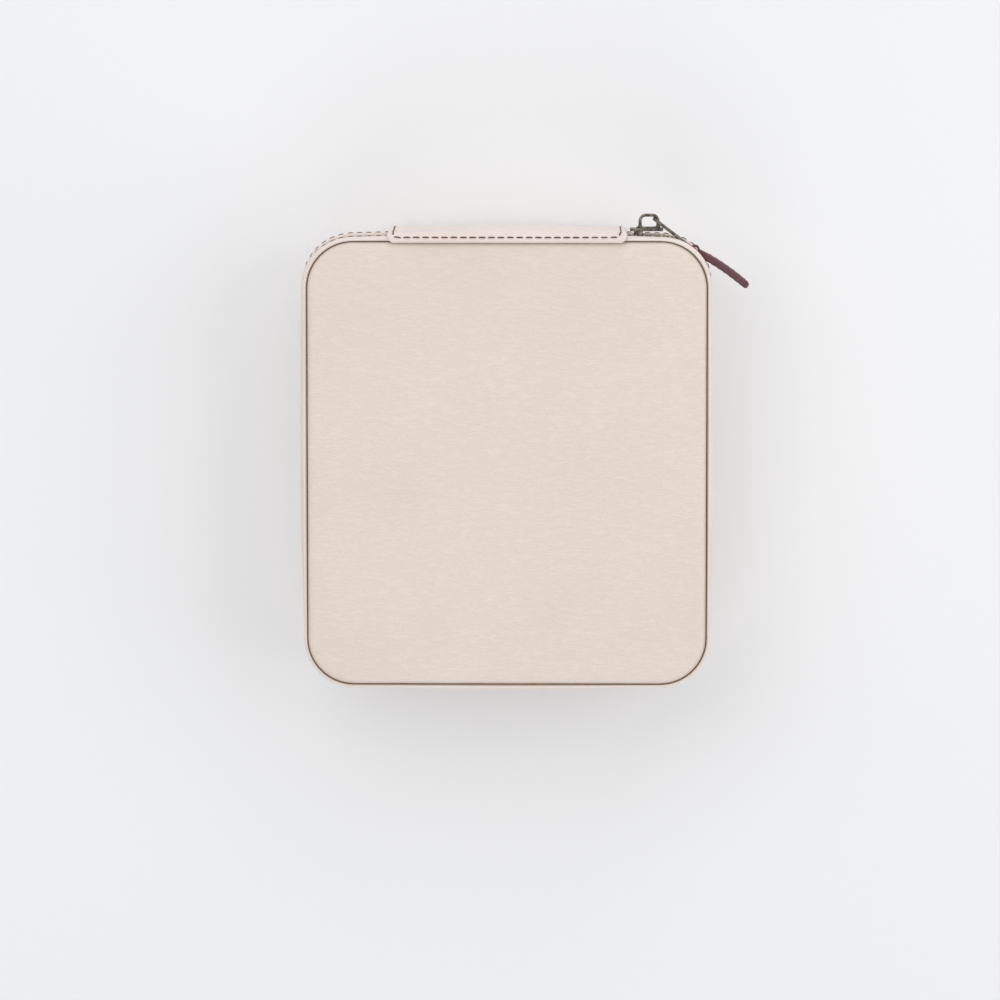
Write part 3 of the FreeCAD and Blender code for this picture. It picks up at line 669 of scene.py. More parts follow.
# The padded panel, in millimetres: the part tucked into the seam as depth below the face and
# distance outside the seam, and then the distances inside the seam of the rings across its face.
PANEL_TUCK = [(3.0, -0.2), (2.1, 0.05)]
PANEL_INSIDES = [0.0, 0.12, 0.3, 0.55, 0.9, 1.4, 2.1, 3.0, 4.2, 6.0, 8.5, 12.0, 17.0, 23.0, 31.0,
                 41.0, 53.0, 64.0, 72.0]
PANEL_EDGE_DEPTH = 1.45 * MM    # depth of the panel's edge in the seam
PANEL_CROWN = 0.55 * MM      # rise of the padding toward the middle
PANEL_ROLL = 1.25 * MM       # rise from the seam to the face
PANEL_RIPPLE = 0.045 * MM    # height of the uneven folds beside the seam


def wall_outward(half, depth):
    """How far the wall's leather stands outside the seam at a depth, without the bow."""
    section = SECTIONS[half]
    share = depth / wall_depth(half) * section[-1][0]
    return float(np.interp(share, [d for d, _ in section[1:]], [o for _, o in section[1:]])) * MM


def bow_at(half, depth):
    """The sides' bulge at a depth: none at the seam, and full from a few millimetres on."""
    share = min(1.0, depth / (FULL_BOW_DEPTH if half == "lid" else wall_depth(half)))
    return WALL_BOW * share ** 0.7


def wall_stations(half):
    """Section of the wall's leather, from inside the seam over the bead to the turned-in edge."""
    full = wall_depth(half)
    shoulder = SECTIONS[half][:6]
    first_out = shoulder[0][1] * MM
    # The two points inside the seam carry full painted shade.
    stations = [(2.2 * MM, first_out - 0.2 * MM, 0.0, 1.0), (1.2 * MM, first_out - 0.1 * MM, 0.0, 1.0)]
    for (depth, out), shade_and_edge_paint in zip(shoulder, SHOULDER_PAINTED_SHADE):
        stations.append((depth * MM, out * MM, bow_at(half, depth * MM), shade_and_edge_paint))
    stitch = full - STITCH_DEPTH_FROM_EDGE
    last = shoulder[-1][0] * MM
    spread = [last + (stitch - 0.9 * MM - last) * share for share in (0.08, 0.2, 0.4, 0.6, 0.8, 1.0)]
    spread += [stitch - 0.45 * MM, stitch, stitch + 0.45 * MM, stitch + 0.9 * MM]
    for depth in spread:
        # Painted shade in the dip that the stitches pull in.
        dip = STITCH_DIP if abs(depth - stitch) < 1e-6 else 0.0
        stations.append((depth, wall_outward(half, depth) - dip, bow_at(half, depth),
                         0.12 if dip else 0.0))
    edge_out = wall_outward(half, full)
    for down, inside, shade_and_edge_paint in TURNED_EDGE:
        stations.append((full - down * MM, edge_out - inside * MM, bow_at(half, full), shade_and_edge_paint))
    return stations


def make_wall(half):
    """Leather of the wall, open toward the inside and made thick afterwards."""
    raw = wall_stations(half)
    stations = [(level(half, depth), out, bow) for depth, out, bow, _ in raw]
    piece = sweep_round(half + "_rim_leather", stations, "cream_smooth_lit",
                        shade_shares=[shade_and_edge_paint for _, _, _, shade_and_edge_paint in raw])
    with edited(piece.data) as work:
        centre = Vector((0, 0, (LID_EDGE + BASE_EDGE) / 2))
        outer = max(work.faces, key=lambda face: (face.calc_center_median() - centre).length)
        if outer.normal.dot(outer.calc_center_median() - centre) < 0:
            bmesh.ops.reverse_faces(work, faces=work.faces)
    dress(piece, half, "cream_leather", half + "_wall_leather")
    thick = piece.modifiers.new("thickness", "SOLIDIFY")
    thick.thickness = 0.25 * MM
    thick.offset = -1.0


def make_wall_board(half):
    """Stiffening board behind the wall's leather."""
    top, low = 4.4 * MM, wall_depth(half) - 1.2 * MM
    front, back = BOARD_INSIDE, 1.5 * MM
    stations = []
    for depth, inside in ((top, front), (low, front), (low, back), (top, back)):
        stations.append((level(half, depth), wall_outward(half, depth) - inside,
                         bow_at(half, depth)))
    dress(sweep_round(half + "_stiffener", stations, "board", closed=True), half, "board",
          half + "_wall_board")


def make_panel_board(half):
    """Stiffening board behind the panel, out to the wall's leather."""
    verts = []
    for height in sorted({corner.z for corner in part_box(half + "_panel_board")}):
        depth = TOP - height if half == "lid" else height - BOTTOM
        verts += ring(height, wall_outward(half, depth) - BOARD_INSIDE, bow_at(half, depth))
    piece = new_piece(half + "_panel_stiffener", verts, capped_faces(2, COLUMNS), "board",
                      smooth=False)
    dress(outward_faces(piece), half, "board", half + "_panel_board")


def panel_height(x, y, inside):
    """Rise of the padded panel over its edge, and its soft dip beside the seam."""
    a, b = abs(x) / SEAM_X, abs(y) / SEAM_Y
    crown = PANEL_CROWN * (1 - min(a, 1.0) ** 3.2) * (1 - min(b, 1.0) ** 3.2)
    roll = PANEL_ROLL * (1 - math.exp(-inside / (0.75 * MM)))
    fold = math.sin(x * 240 + 1.3 * math.sin(y * 130))
    ripple = PANEL_RIPPLE * fold * math.exp(-inside / (7 * MM))
    return crown + roll + ripple


def make_panel(half):
    """Padded leather panel that rolls down into the seam all round; the base's is flat below."""
    on_base = half == "base"
    shift = BASE_TAPER if on_base else 0.0
    verts, shade_and_edge_paint = [], []
    for depth, out in PANEL_TUCK:
        verts += ring(level(half, depth * MM), out * MM - shift)
        # The tucked points carry full painted shade in the seam.
        shade_and_edge_paint += [1.0] * COLUMNS
    for inside in PANEL_INSIDES:
        for x, y, _ in ring(0.0, 0.12 * MM - inside * MM - shift):
            rise = panel_height(x, y, inside * MM)
            if on_base:
                rise = min(rise, PANEL_EDGE_DEPTH)
            verts.append((x, y, level(half, PANEL_EDGE_DEPTH - rise)))
        # Painted shade beside the seam: full at the panel's edge, half on the next ring.
        shade_and_edge_paint += [1.0 if inside < 0.1 else 0.5 if inside < 0.2 else 0.0] * COLUMNS
    faces = capped_faces(len(PANEL_TUCK) + len(PANEL_INSIDES), COLUMNS)
    piece = outward_faces(new_piece(half + "_panel", verts, faces, "cream"))
    set_shade_and_edge_paint(piece, shade_and_edge_paint)
    dress(piece, half, "cream_leather", half + "_panel_leather")


def make_wall_stitches(half):
    """Row of stitches along the wall's edge, hidden only where the spine patch covers it."""
    depth = wall_depth(half) - STITCH_DEPTH_FROM_EDGE
    flat, normals = outline(wall_outward(half, depth) - STITCH_DIP, bow_at(half, depth))
    height = level(half, depth)
    points = [Vector((p.x, p.y, height)) for p in flat]
    facing = [Vector((n.x, n.y, 0.05)) for n in normals]
    places = walk(points, facing, STITCH_PITCH, lambda p: not behind_spine(p, 1.5 * MM))
    dress(stitch_row(half + "_edge_stitches", places, "thread"), half, "cream_leather")


# ---------------------------------------------------------------- zip

# One turn of the coil, in millimetres: away from the zip's middle, and out of the case.
COIL_LOOP = [(2.55, -0.35), (1.5, -0.52), (0.35, -0.42), (-0.25, 0.0), (0.35, 0.48), (1.5, 0.62),
             (2.55, 0.50)]


def behind_spine(place, margin):
    """Whether the spine patch covers a place by at least a margin."""
    return place.y > 0 and abs(place.x) < SPINE_X - margin


def make_tape(half):
    """Woven tape from behind the wall's leather to the coil."""
    toward = 1 if half == "lid" else -1
    edge = LID_EDGE if half == "lid" else BASE_EDGE
    # Height above the wall's edge or the zip's middle, and distance outside the seam.
    profile = [(edge, 1.6, 0.55), (edge, 0.3, 0.65), (edge, -1.0, 0.78), (ZIP_Z, 2.9, 0.95),
               (ZIP_Z, 1.6, 0.55), (ZIP_Z, 1.4, 0.2), (ZIP_Z, 1.6, -0.05), (ZIP_Z, 2.9, 0.25),
               (edge, -1.0, 0.15), (edge, 1.6, 0.0)]
    verts = []
    for start, rise, out in profile:
        verts += ring(start + toward * rise * MM, out * MM, WALL_BOW)
    faces = []
    for face in grid_faces(len(profile), COLUMNS, wrap_columns=True, wrap_rows=True):
        middle = sum((Vector(verts[index]) for index in face), Vector()) / 4
        if not behind_spine(middle, 2.0 * MM):
            faces.append(face)
    piece = outward_faces(new_piece(half + "_tape", verts, faces, "tape"))
    close_ends(piece)
    dress(piece, half, "zip_tape", half + "_zip_tape")


def close_ends(piece):
    """Drops loose points and fills the open ends of a cut tube."""
    with edited(piece.data) as work:
        bmesh.ops.delete(work, geom=[v for v in work.verts if not v.link_faces], context="VERTS")
        rim = [edge for edge in work.edges if len(edge.link_faces) == 1]
        bmesh.ops.holes_fill(work, edges=rim, sides=0)
        bmesh.ops.recalc_face_normals(work, faces=work.faces)


def make_coil(half):
    """Nylon coil: one bent loop of wire for each turn, and the turns of the two halves interleave."""
    flat, normals = outline(COIL_OUT, WALL_BOW)
    points = [Vector((p.x, p.y, ZIP_Z)) for p in flat]
    facing = [Vector((n.x, n.y, 0)) for n in normals]
    places = walk(points, facing, COIL_PITCH, lambda p: not behind_spine(p, 2.2 * MM),
                  start=0.25 if half == "lid" else 0.75)
    rings, sides = len(COIL_LOOP), 6
    template = tube_template(rings, sides)
    verts, faces = [], []
    up = Vector((0, 0, 1 if half == "lid" else -1))
    for place, along, normal in places:
        along, normal = along.normalized(), normal.normalized()
        first = len(verts)
        for number, (rise, out) in enumerate(COIL_LOOP):
            before, after = COIL_LOOP[max(number - 1, 0)], COIL_LOOP[min(number + 1, rings - 1)]
            run = (up * (after[0] - before[0]) + normal * (after[1] - before[1])).normalized()
            side_way = run.cross(along)
            slant = (number / (rings - 1) - 0.5) * COIL_SLANT
            centre = place + up * rise * MM + normal * out * MM + along * slant
            head = 1.35 if number == rings // 2 else 1.0
            verts += [centre + (along * c * head + side_way * s) * COIL_WIRE
                      for c, s in circle(sides)]
        for rise, out in (COIL_LOOP[0], COIL_LOOP[-1]):
            verts.append(place + up * rise * MM + normal * out * MM)
        faces += [tuple(first + index for index in face) for face in template]
    piece = outward_faces(new_piece(half + "_coil", verts, faces, "coil"))
    dress(piece, half, "zip_coil", half + "_zip_coil")


# ---------------------------------------------------------------- spine

SPINE_THICK = 1.8 * MM
SPINE_CORNER = 2.6 * MM
SPINE_BASE_END = 1.8 * MM    # depth at which the patch ends on the base
SPINE_INSET = 2.3 * MM       # distance of the patch's stitches from its edge
SPINE_LID_INSET = 1.2 * MM   # the same at the patch's end on the lid
SPINE_GROOVE = 0.13 * MM     # depth of the groove that the stitches pull in
SPINE_SOFT = 0.5 * MM        # reach of that groove and of the patch's rounded edge
SPINE_RIPPLE = 0.05 * MM


def spine_stations():
    """The back wall's section under the patch: height, distance outside the seam and bow."""
    stations = [(TOP - 0.10 * MM, 0.02 * MM, 0.0), (TOP - 0.02 * MM, 0.62 * MM, 0.0)]
    for depth, out in SECTIONS["lid"][1:]:
        place = depth * MM
        stations.append((TOP - place, out * MM, bow_at("lid", place)))
    for depth, out in reversed(SECTIONS["base"]):
        place = depth * MM
        if place > SPINE_BASE_END:
            stations.append((BOTTOM + place, out * MM, bow_at("base", place)))
    return stations


SPINE_PATH = spine_stations()
SPINE_RUNS = [0.0]
for here, there in zip(SPINE_PATH, SPINE_PATH[1:]):
    SPINE_RUNS.append(SPINE_RUNS[-1] + math.hypot(there[0] - here[0],
                                                  there[1] + there[2] - here[1] - here[2]))
SPINE_LENGTH = SPINE_RUNS[-1]


def back_bulge(x):
    """Share of the bulge on the back wall at a place along X."""
    return bulge_at(1, -max(-1.0, min(1.0, x / (SEAM_X - SEAM_RADIUS))))


def on_back(run, x):
    """Place on the back wall's surface at a distance along the patch, and its normal."""
    def place(at):
        at = max(0.0, min(SPINE_LENGTH, at))
        height, out, bow = (float(np.interp(at, SPINE_RUNS, [p[k] for p in SPINE_PATH]))
                            for k in range(3))
        return Vector((x, SEAM_Y + out + bow * back_bulge(x), height))
    step = 0.6 * MM
    ahead = place(run + step) - place(run - step)
    return place(run), Vector((0, -ahead.z, ahead.y)).normalized()


def spine_outline(across, run):
    """Moves a place near one of the patch's corners in, so that the corner is round."""
    side_gap, end_gap = SPINE_X - abs(across), min(run, SPINE_LENGTH - run)
    way = Vector((SPINE_CORNER - side_gap, SPINE_CORNER - end_gap))
    if way.x <= 0 or way.y <= 0:
        return across, run
    way *= max(way.x, way.y) / way.length
    run_shift = (SPINE_CORNER - way.y) - end_gap
    across = math.copysign(SPINE_X - SPINE_CORNER + way.x, across)
    return across, run + (run_shift if run < SPINE_LENGTH / 2 else -run_shift)


def spine_lift(x, run):
    """The patch's right corner by the slider curls off the case a little."""
    curl, reach = 0.7 * MM, 4.0 * MM
    return curl * math.exp(-(math.hypot(SPINE_X - x, run) / reach) ** 2)


def close_sheet(rows, columns):
    """Faces of a slab stored as its outer grid and then its inner grid."""
    faces = grid_faces(rows, columns)
    faces += [tuple(reversed(face)) for face in grid_faces(rows, columns, first=rows * columns)]
    rim = [(0, c) for c in range(columns)] + [(r, columns - 1) for r in range(1, rows)]
    rim += [(rows - 1, c) for c in range(columns - 2, -1, -1)]
    rim += [(r, 0) for r in range(rows - 2, 0, -1)]
    border = [r * columns + c for r, c in rim]
    offset = rows * columns
    for index, here in enumerate(border):
        following = border[(index + 1) % len(border)]
        faces.append((here, here + offset, following + offset, following))
    return faces


def eased(count, power):
    """Shares from -1 to 1 that crowd toward both ends."""
    shares = [2 * index / (count - 1) - 1 for index in range(count)]
    return [math.copysign(1 - (1 - abs(share)) ** power, share) for share in shares]


def blend_spine(piece):
    """Bakes the piece's transform into its mesh."""
    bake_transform(piece)


def make_spine():
    """Spine patch: one padded strap of leather along the back wall, over the lid and the base."""
    rows, columns = 64, 72
    outer, inner = [], []
    for row_share in eased(rows, 1.25):
        for column_share in eased(columns, 1.35):
            x, run = spine_outline(column_share * SPINE_X, (row_share + 1) / 2 * SPINE_LENGTH)
            edge = min(SPINE_X - abs(column_share * SPINE_X),
                       (1 - abs(row_share)) / 2 * SPINE_LENGTH)
            stitch_edge = min(SPINE_X - abs(x), run + SPINE_INSET - SPINE_LID_INSET,
                              SPINE_LENGTH - run)
            body = SPINE_THICK * (1 - 0.38 * math.exp(-edge / SPINE_SOFT))
            body -= SPINE_GROOVE * math.exp(-((stitch_edge - SPINE_INSET) / SPINE_SOFT) ** 2)
            body += SPINE_RIPPLE * math.sin(x * 210 + 2 * math.sin(run * 160))
            place, normal = on_back(run, x)
            place = place + normal * spine_lift(x, run)
            outer.append(place + normal * body)
            inner.append(place + normal * 0.06 * MM)
    piece = outward_faces(new_piece("spine_patch", outer + inner, close_sheet(rows, columns),
                                    "cream_smooth_lit"))
    # Painted shade on the patch's inner face, which shows at its edges and where its corner lifts.
    set_shade_and_edge_paint(piece, [0.0] * len(outer) + [0.4] * len(inner))
    bevel = piece.modifiers.new("edge", "BEVEL")
    bevel.width = 0.3 * MM
    bevel.segments = 2
    bevel.limit_method = "ANGLE"
    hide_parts("spine_patch_base", "spine_patch_lid")
    blend_spine(piece)


def make_spine_stitches():
    """Stitches round the spine patch, rounded at its corners."""
    half, first, last = SPINE_X - SPINE_INSET, SPINE_LID_INSET, SPINE_LENGTH - SPINE_INSET
    line = rounded_polygon([(half, first), (-half, first), (-half, last), (half, last)],
                           1.9 * MM, 8)
    points, normals = [], []
    for spot in subdivided(line + line[:1], 1.0 * MM)[:-1]:
        place, normal = on_back(spot.y, spot.x)
        points.append(place + normal * (SPINE_THICK - 0.10 * MM + spine_lift(spot.x, spot.y)))
        normals.append(normal)
    piece = stitch_row("spine_stitches", walk(points, normals, STITCH_PITCH), "thread",
                       radius=0.28 * MM)
    blend_spine(piece)


def make_spine_lining():
    """Suede strip inside the spine, across the zip's channel."""
    low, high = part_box("spine_lining_base"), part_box("spine_lining_lid")
    rows, columns = 19, 24
    overlap = 1.2 * MM
    start, end = low[0].z - overlap, high[1].z + overlap
    edge_out = wall_outward("lid", wall_depth("lid"))
    verts = []
    for inside in (0.3 * MM, 0.9 * MM):
        for row in range(rows):
            z = start + (end - start) * row / (rows - 1)
            for column in range(columns):
                x = low[0].x + (low[1].x - low[0].x) * column / (columns - 1)
                y = SEAM_Y + edge_out + WALL_BOW * back_bulge(x) - inside
                verts.append((x, y + 0.05 * MM * math.sin(x * 900), z))
    piece = outward_faces(new_piece("spine_lining", verts, close_sheet(rows, columns), "suede"))
    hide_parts("spine_lining_base", "spine_lining_lid")
    blend_spine(piece)


# ---------------------------------------------------------------- slider, link and pull

def facing_back(x, y):
    """Matrix of a flat part drawn in X and Z, centred on the zip, whose thickness runs along Y."""
    turn = Matrix(((1, 0, 0), (0, 0, 1), (0, 1, 0))).to_4x4()
    return Matrix.Translation((x, y, ZIP_Z)) @ turn


def mirrored(points):
    """A closed outline from its upper half: the same points below first, and then above."""
    return [(x, -y) for x, y in points] + points[::-1]


def oblong(start, end, half):
    """A rectangle's corners."""
    return [(start, -half), (start, half), (end, half), (end, -half)]


def swept_band(name, path, half_thick, half_wide):
    """Metal band of rounded section along a path in the X, Y plane; its width runs along Z."""
    verts = []
    count, sides = len(path), 12
    for index, point in enumerate(path):
        before, after = path[max(index - 1, 0)], path[min(index + 1, count - 1)]
        run = (after - before).normalized()
        out = Vector((run.y, -run.x, 0))
        for c, s in circle(sides, 0.6):
            verts.append(point + out * half_thick * c + Vector((0, 0, half_wide * s)))
    return shade_by_angle(outward_faces(new_piece(name, verts, capped_faces(count, sides), "metal")),
                          50.0)


def join(name, pieces):
    """Joins pieces into one object."""
    bpy.ops.object.select_all(action="DESELECT")
    for piece in pieces:
        piece.select_set(True)
    bpy.context.view_layer.objects.active = pieces[0]
    bpy.ops.object.join()
    pieces[0].name = name
    pieces[0].data.name = name
    return pieces[0]


def make_slider():
    """Cast slider: a shield-shaped plate with a raised ridge, a post, and a smaller plate under it."""
    low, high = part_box("slider_body")
    middle_x, half_length = (low.x + high.x) / 2, (high.x - low.x) / 2
    half = (high.z - low.z) / 2
    plate = 1.1 * MM
    shares = [(-1.0, 0.7), (-0.72, 1.0), (-0.15, 1.0), (0.35, 0.82), (1.0, 0.82)]
    shield = mirrored([(half_length * x, half * z) for x, z in shares])
    inner = [(x * 0.72, z * 0.9) for x, z in shield]
    waist = -half_length * 0.5
    post = [(-half_length * 0.8, 0), (waist, -0.85 * MM), (-half_length * 0.15, 0),
            (waist, 0.85 * MM)]
    ridge = mirrored([(-half_length * 0.62, 1.3 * MM), (half_length * 0.82, 1.3 * MM)])
    # Name, outline, its corners' radius, thickness, rounded edge and place along Y.
    parts = (("slider_top", shield, 1.2, plate, 0.32, high.y - plate / 2),
             ("slider_under", inner, 1.0, 0.9 * MM, 0.25, low.y + 0.45 * MM),
             ("slider_post", post, 0.3, high.y - low.y - 1.4 * MM, 0.1, (low.y + high.y) / 2),
             ("slider_ridge", ridge, 0.9, 0.7 * MM, 0.28, high.y + 0.12 * MM))
    pieces = [flat_part(name, [rounded_polygon(shape, corner * MM)], thick, edge * MM,
                        facing_back(middle_x, y))
              for name, shape, corner, thick, edge, y in parts]
    dress(join("zip_slider", pieces), "slider", "antique_metal", "slider_body")


def make_bail():
    """Arched wire bail with curled feet on the slider's back."""
    low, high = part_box("slider_bail")
    band = 0.6 * MM
    left, right = low.x + band, high.x - band
    top, foot = high.y - band, low.y - 0.2 * MM
    corner, steps = 2.1 * MM, 8
    path = [Vector((left, foot, ZIP_Z)), Vector((left, (foot + top) / 2, ZIP_Z))]
    for x, first in ((left + corner, math.pi), (right - corner, math.pi / 2)):
        for step in range(steps + 1):
            turn = first - math.pi / 2 * step / steps
            path.append(Vector((x + corner * math.cos(turn),
                                top - corner + corner * math.sin(turn), ZIP_Z)))
    path += [Vector((right, (foot + top) / 2, ZIP_Z)), Vector((right, foot, ZIP_Z))]
    pieces = [swept_band("bail_arch", path, band, (high.z - low.z) / 2)]
    wide, narrow = 1.0 * MM, 0.8 * MM
    under, over = low.y - 0.1 * MM, low.y + 1.1 * MM
    for number, x in enumerate((left, right)):
        shape = [(x - wide, under), (x + wide, under), (x + narrow, over), (x - narrow, over)]
        pieces.append(flat_part(f"bail_foot_{number}", [rounded_polygon(shape, 0.5 * MM)],
                                3.0 * MM, 0.3 * MM, Matrix.Translation((0, 0, ZIP_Z))))
    dress(join("zip_bail", pieces), "slider", "antique_metal", "slider_bail")


LINK_PIVOT = Vector(JOINTS["link_swing"]["pos_m"])
PULL_PIVOT = Vector(JOINTS["pull_lift"]["pos_m"])
LINK_WAY = (PULL_PIVOT - LINK_PIVOT).normalized()


def pull_way():
    """Direction from the pull's pivot to its tip."""
    spots = [Vector(vertex.co) - PULL_PIVOT for vertex in NODES["pull_tab"].data.vertices]
    reach = max(Vector((spot.x, spot.y)).length for spot in spots)
    tips = [spot for spot in spots if Vector((spot.x, spot.y)).length > reach - 0.8 * MM]
    middle = sum(tips, Vector()) / len(tips)
    return Vector((middle.x, middle.y, 0)).normalized()


PULL_WAY = pull_way()
PULL_OUT = Vector((-PULL_WAY.y, PULL_WAY.x, 0))
PULL_START, PULL_END = 1.2 * MM, 24.5 * MM    # the tab's ends, from the pivot
PULL_HALF, LOOP_HALF = 4.0 * MM, 2.4 * MM     # half widths of the tab and of its loop
PULL_THICK = 1.4 * MM                         # half thickness of the tab
PULL_NECK, PULL_WIDEN = 0.8 * MM, 3.6 * MM    # narrow start, and the widening after it
PULL_THIN_TIP = 2.4 * MM                      # length over which the tip gets thinner


def along_link():
    """Matrix with X along the link, Y along the row's Z and Z across the link's thickness."""
    columns = [LINK_WAY, Vector((0, 0, 1)), LINK_WAY.cross(Vector((0, 0, 1)))]
    turn = Matrix([[columns[c][r] for c in range(3)] for r in range(3)]).to_4x4()
    return Matrix.Translation(LINK_PIVOT) @ turn


def make_link():
    """Flat metal link with an eye for the bail and a window for the leather."""
    length = (PULL_PIVOT - LINK_PIVOT).length
    half, neck, eye = 3.6 * MM, 2.5 * MM, 1.45 * MM
    bar = 0.7 * MM
    end, start = length + bar, -2.25 * MM
    shape = mirrored([(start, neck), (length * 0.45, neck), (length * 0.62, half), (end, half)])
    window = oblong(length - bar - 3.4 * MM, length - bar, 2.7 * MM)
    outlines = [rounded_polygon(shape, 0.9 * MM), rounded_polygon(oblong(-eye, eye, eye), 0.5 * MM),
                rounded_polygon(window, 0.5 * MM)]
    dress(flat_part("puller", outlines, 1.1 * MM, 0.28 * MM, along_link()), "link",
          "antique_metal", "puller_link")


def pull_body(share):
    """Half thickness of the tab at a share of its length."""
    return PULL_THICK * (0.86 + 0.14 * math.sin(min(1.0, share * 3.9) * math.pi / 2))


def pull_bend(share):
    """How far the tab bends outward at a share of its length."""
    return 0.55 * MM * math.sin(share * math.pi) - 0.5 * MM * share ** 2


def make_pull():
    """Folded leather pull: a loop round the link's end bar and a rounded tab of two layers."""
    length = PULL_END - PULL_START
    stations, sides = 46, 40
    verts = []
    for station in range(stations):
        share = station / (stations - 1)
        s = PULL_START + length * (1 - (1 - share) ** 1.5)
        widen = min(1.0, max(0.0, (s - PULL_START - PULL_NECK) / PULL_WIDEN))
        width = LOOP_HALF + (PULL_HALF - LOOP_HALF) * (3 * widen ** 2 - 2 * widen ** 3)
        from_tip = PULL_END - s
        if from_tip < PULL_HALF:
            width *= math.sqrt(max(1 - (1 - from_tip / PULL_HALF) ** 2, 0.0004))
        body = pull_body((s - PULL_START) / length) * min(1.0, 0.55 + from_tip / PULL_THIN_TIP)
        bend = pull_bend((s - PULL_START) / length)
        for c, q in circle(sides, 0.42):
            across, out = c * width, q * body
            if abs(across) / width > 0.9 and abs(out) < body * 0.35:
                across *= 1 - 0.05 * (1 - abs(out) / (body * 0.35))
            verts.append(PULL_PIVOT + PULL_WAY * s + PULL_OUT * (out + bend)
                         + Vector((0, 0, across)))
    tab = outward_faces(new_piece("pull_leather", verts, capped_faces(stations, sides), "burgundy"))
    # Dark edge paint along the tab's two long edges.
    set_shade_and_edge_paint(tab, [min(1.0, max(0.0, (abs(v.z - ZIP_Z) - PULL_HALF * 0.86) / (PULL_HALF * 0.12)))
                     for v in verts])
    piece = join("leather_pull", [tab, make_pull_loop()])
    dress(piece, "pull", "burgundy_leather", "pull_tab")


def make_pull_loop():
    """Loop of leather round the link's end bar."""
    outer, inner, steps = 1.95 * MM, 1.18 * MM, 28
    section = mirrored([(inner, LOOP_HALF - 0.2 * MM), (inner + 0.2 * MM, LOOP_HALF),
                        (outer - 0.3 * MM, LOOP_HALF), (outer, LOOP_HALF - 0.3 * MM)])
    verts = []
    for c, s in circle(steps):
        way = PULL_WAY * c + PULL_OUT * s
        verts += [PULL_PIVOT + way * radius + Vector((0, 0, rise)) for radius, rise in section]
    faces = grid_faces(steps, len(section), wrap_columns=True, wrap_rows=True)
    loop = outward_faces(new_piece("pull_loop", verts, faces, "burgundy"))
    set_shade_and_edge_paint(loop, [0.2] * len(verts))
    return loop


def subdivided(line, longest):
    """The line's points with more between them, so that no step is over a length."""
    points = [Vector(line[0])]
    for start, end in zip(map(Vector, line), map(Vector, line[1:])):
        parts = max(1, math.ceil((end - start).length / longest))
        points += [start.lerp(end, (part + 1) / parts) for part in range(parts)]
    return points


def make_pull_stitches():
    """One row of stitches round each face of the tab."""
    wide = PULL_HALF - 1.5 * MM
    near, straight, tip = PULL_START + 3.6 * MM, PULL_START + 5.0 * MM, PULL_END - PULL_HALF
    shape = [(near, -wide * 0.8), (straight, -wide), (tip, -wide)]
    for step in range(1, 8):
        turn = -math.pi / 2 + math.pi * step / 8
        shape.append((tip + wide * math.cos(turn), wide * math.sin(turn)))
    shape += [(tip, wide), (straight, wide), (near, wide * 0.8)]
    places = []
    for sign in (1, -1):
        points, normals = [], []
        for s, across in subdivided(shape, 1.0 * MM):
            share = (s - PULL_START) / (PULL_END - PULL_START)
            out = sign * pull_body(share) * 0.9 + pull_bend(share)
            points.append(PULL_PIVOT + PULL_WAY * s + Vector((0, 0, across)) + PULL_OUT * out)
            normals.append(PULL_OUT * sign)
        places += walk(points, normals, 2.6 * MM, closed=False)
    piece = stitch_row("pull_stitches", places, "thread", 1.7 * MM, 0.12 * MM)
    dress(piece, "pull", "burgundy_leather")


# ---------------------------------------------------------------- inside

ROLL_SIDE_ROOM = 0.35 * MM   # left at each side for the cloth to swell into
ROLL_TOP_ROOM = 0.3 * MM     # the same above
ROLL_END = 2.2 * MM          # length over which each end is rounded


def make_rolls():
    """Padded ring rolls: each is filled by cloth simulation inside its CAD solid's space."""
    stations, sides = 34, 28
    for number in range(1, 6):
        node = f"ring_roll_{number}"
        low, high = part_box(node)
        half = (high.y - low.y) / 2 - ROLL_SIDE_ROOM
        middle_y = (low.y + high.y) / 2
        crown = high.z - half - ROLL_TOP_ROOM
        verts = []
        for station in range(stations):
            share = station / (stations - 1)
            x = low.x + (high.x - low.x) * share
            gap = min(x - low.x, high.x - x)
            fit = math.sqrt(max(0.0, 1 - (1 - min(gap / ROLL_END, 1.0)) ** 2)) * 0.16 + 0.84
            for y, z in circle(sides):
                if z < 0:
                    y = math.copysign(abs(y) ** 0.35, y)
                    height = max(crown + z * (crown - low.z), low.z + 0.1 * MM)
                else:
                    height = crown + z * half * fit
                verts.append((x, middle_y + y * half * fit, height))
        faces = capped_faces(stations, sides)
        piece = outward_faces(new_piece(f"ring_cushion_{number}", verts, faces, "suede_roll"))
        puff(piece)
        dress(piece, "base", "suede_lining", node)


def make_inside():
    """Lined cups, dividers, the rolls' bed and the mirror's rim."""
    for name, node, bevel, body in (("base_cup", "base_lining", 0.35, "base"),
                                    ("lid_cup", "lid_lining", 0.35, "lid"),
                                    ("divider_long", "long_divider", 0.9, "base"),
                                    ("divider_front", "front_divider", 0.9, "base"),
                                    ("divider_back", "back_divider", 0.9, "base"),
                                    ("roll_bed", "ring_bed", 0.6, "base")):
        dress(softened(name, node, bevel * MM, "suede"), body, "suede_lining", node)
    rim = softened("mirror_frame", "mirror_rim", 0.7 * MM, "cream_smooth_lit")
    dress(rim, "lid", "cream_leather", "mirror_rim")


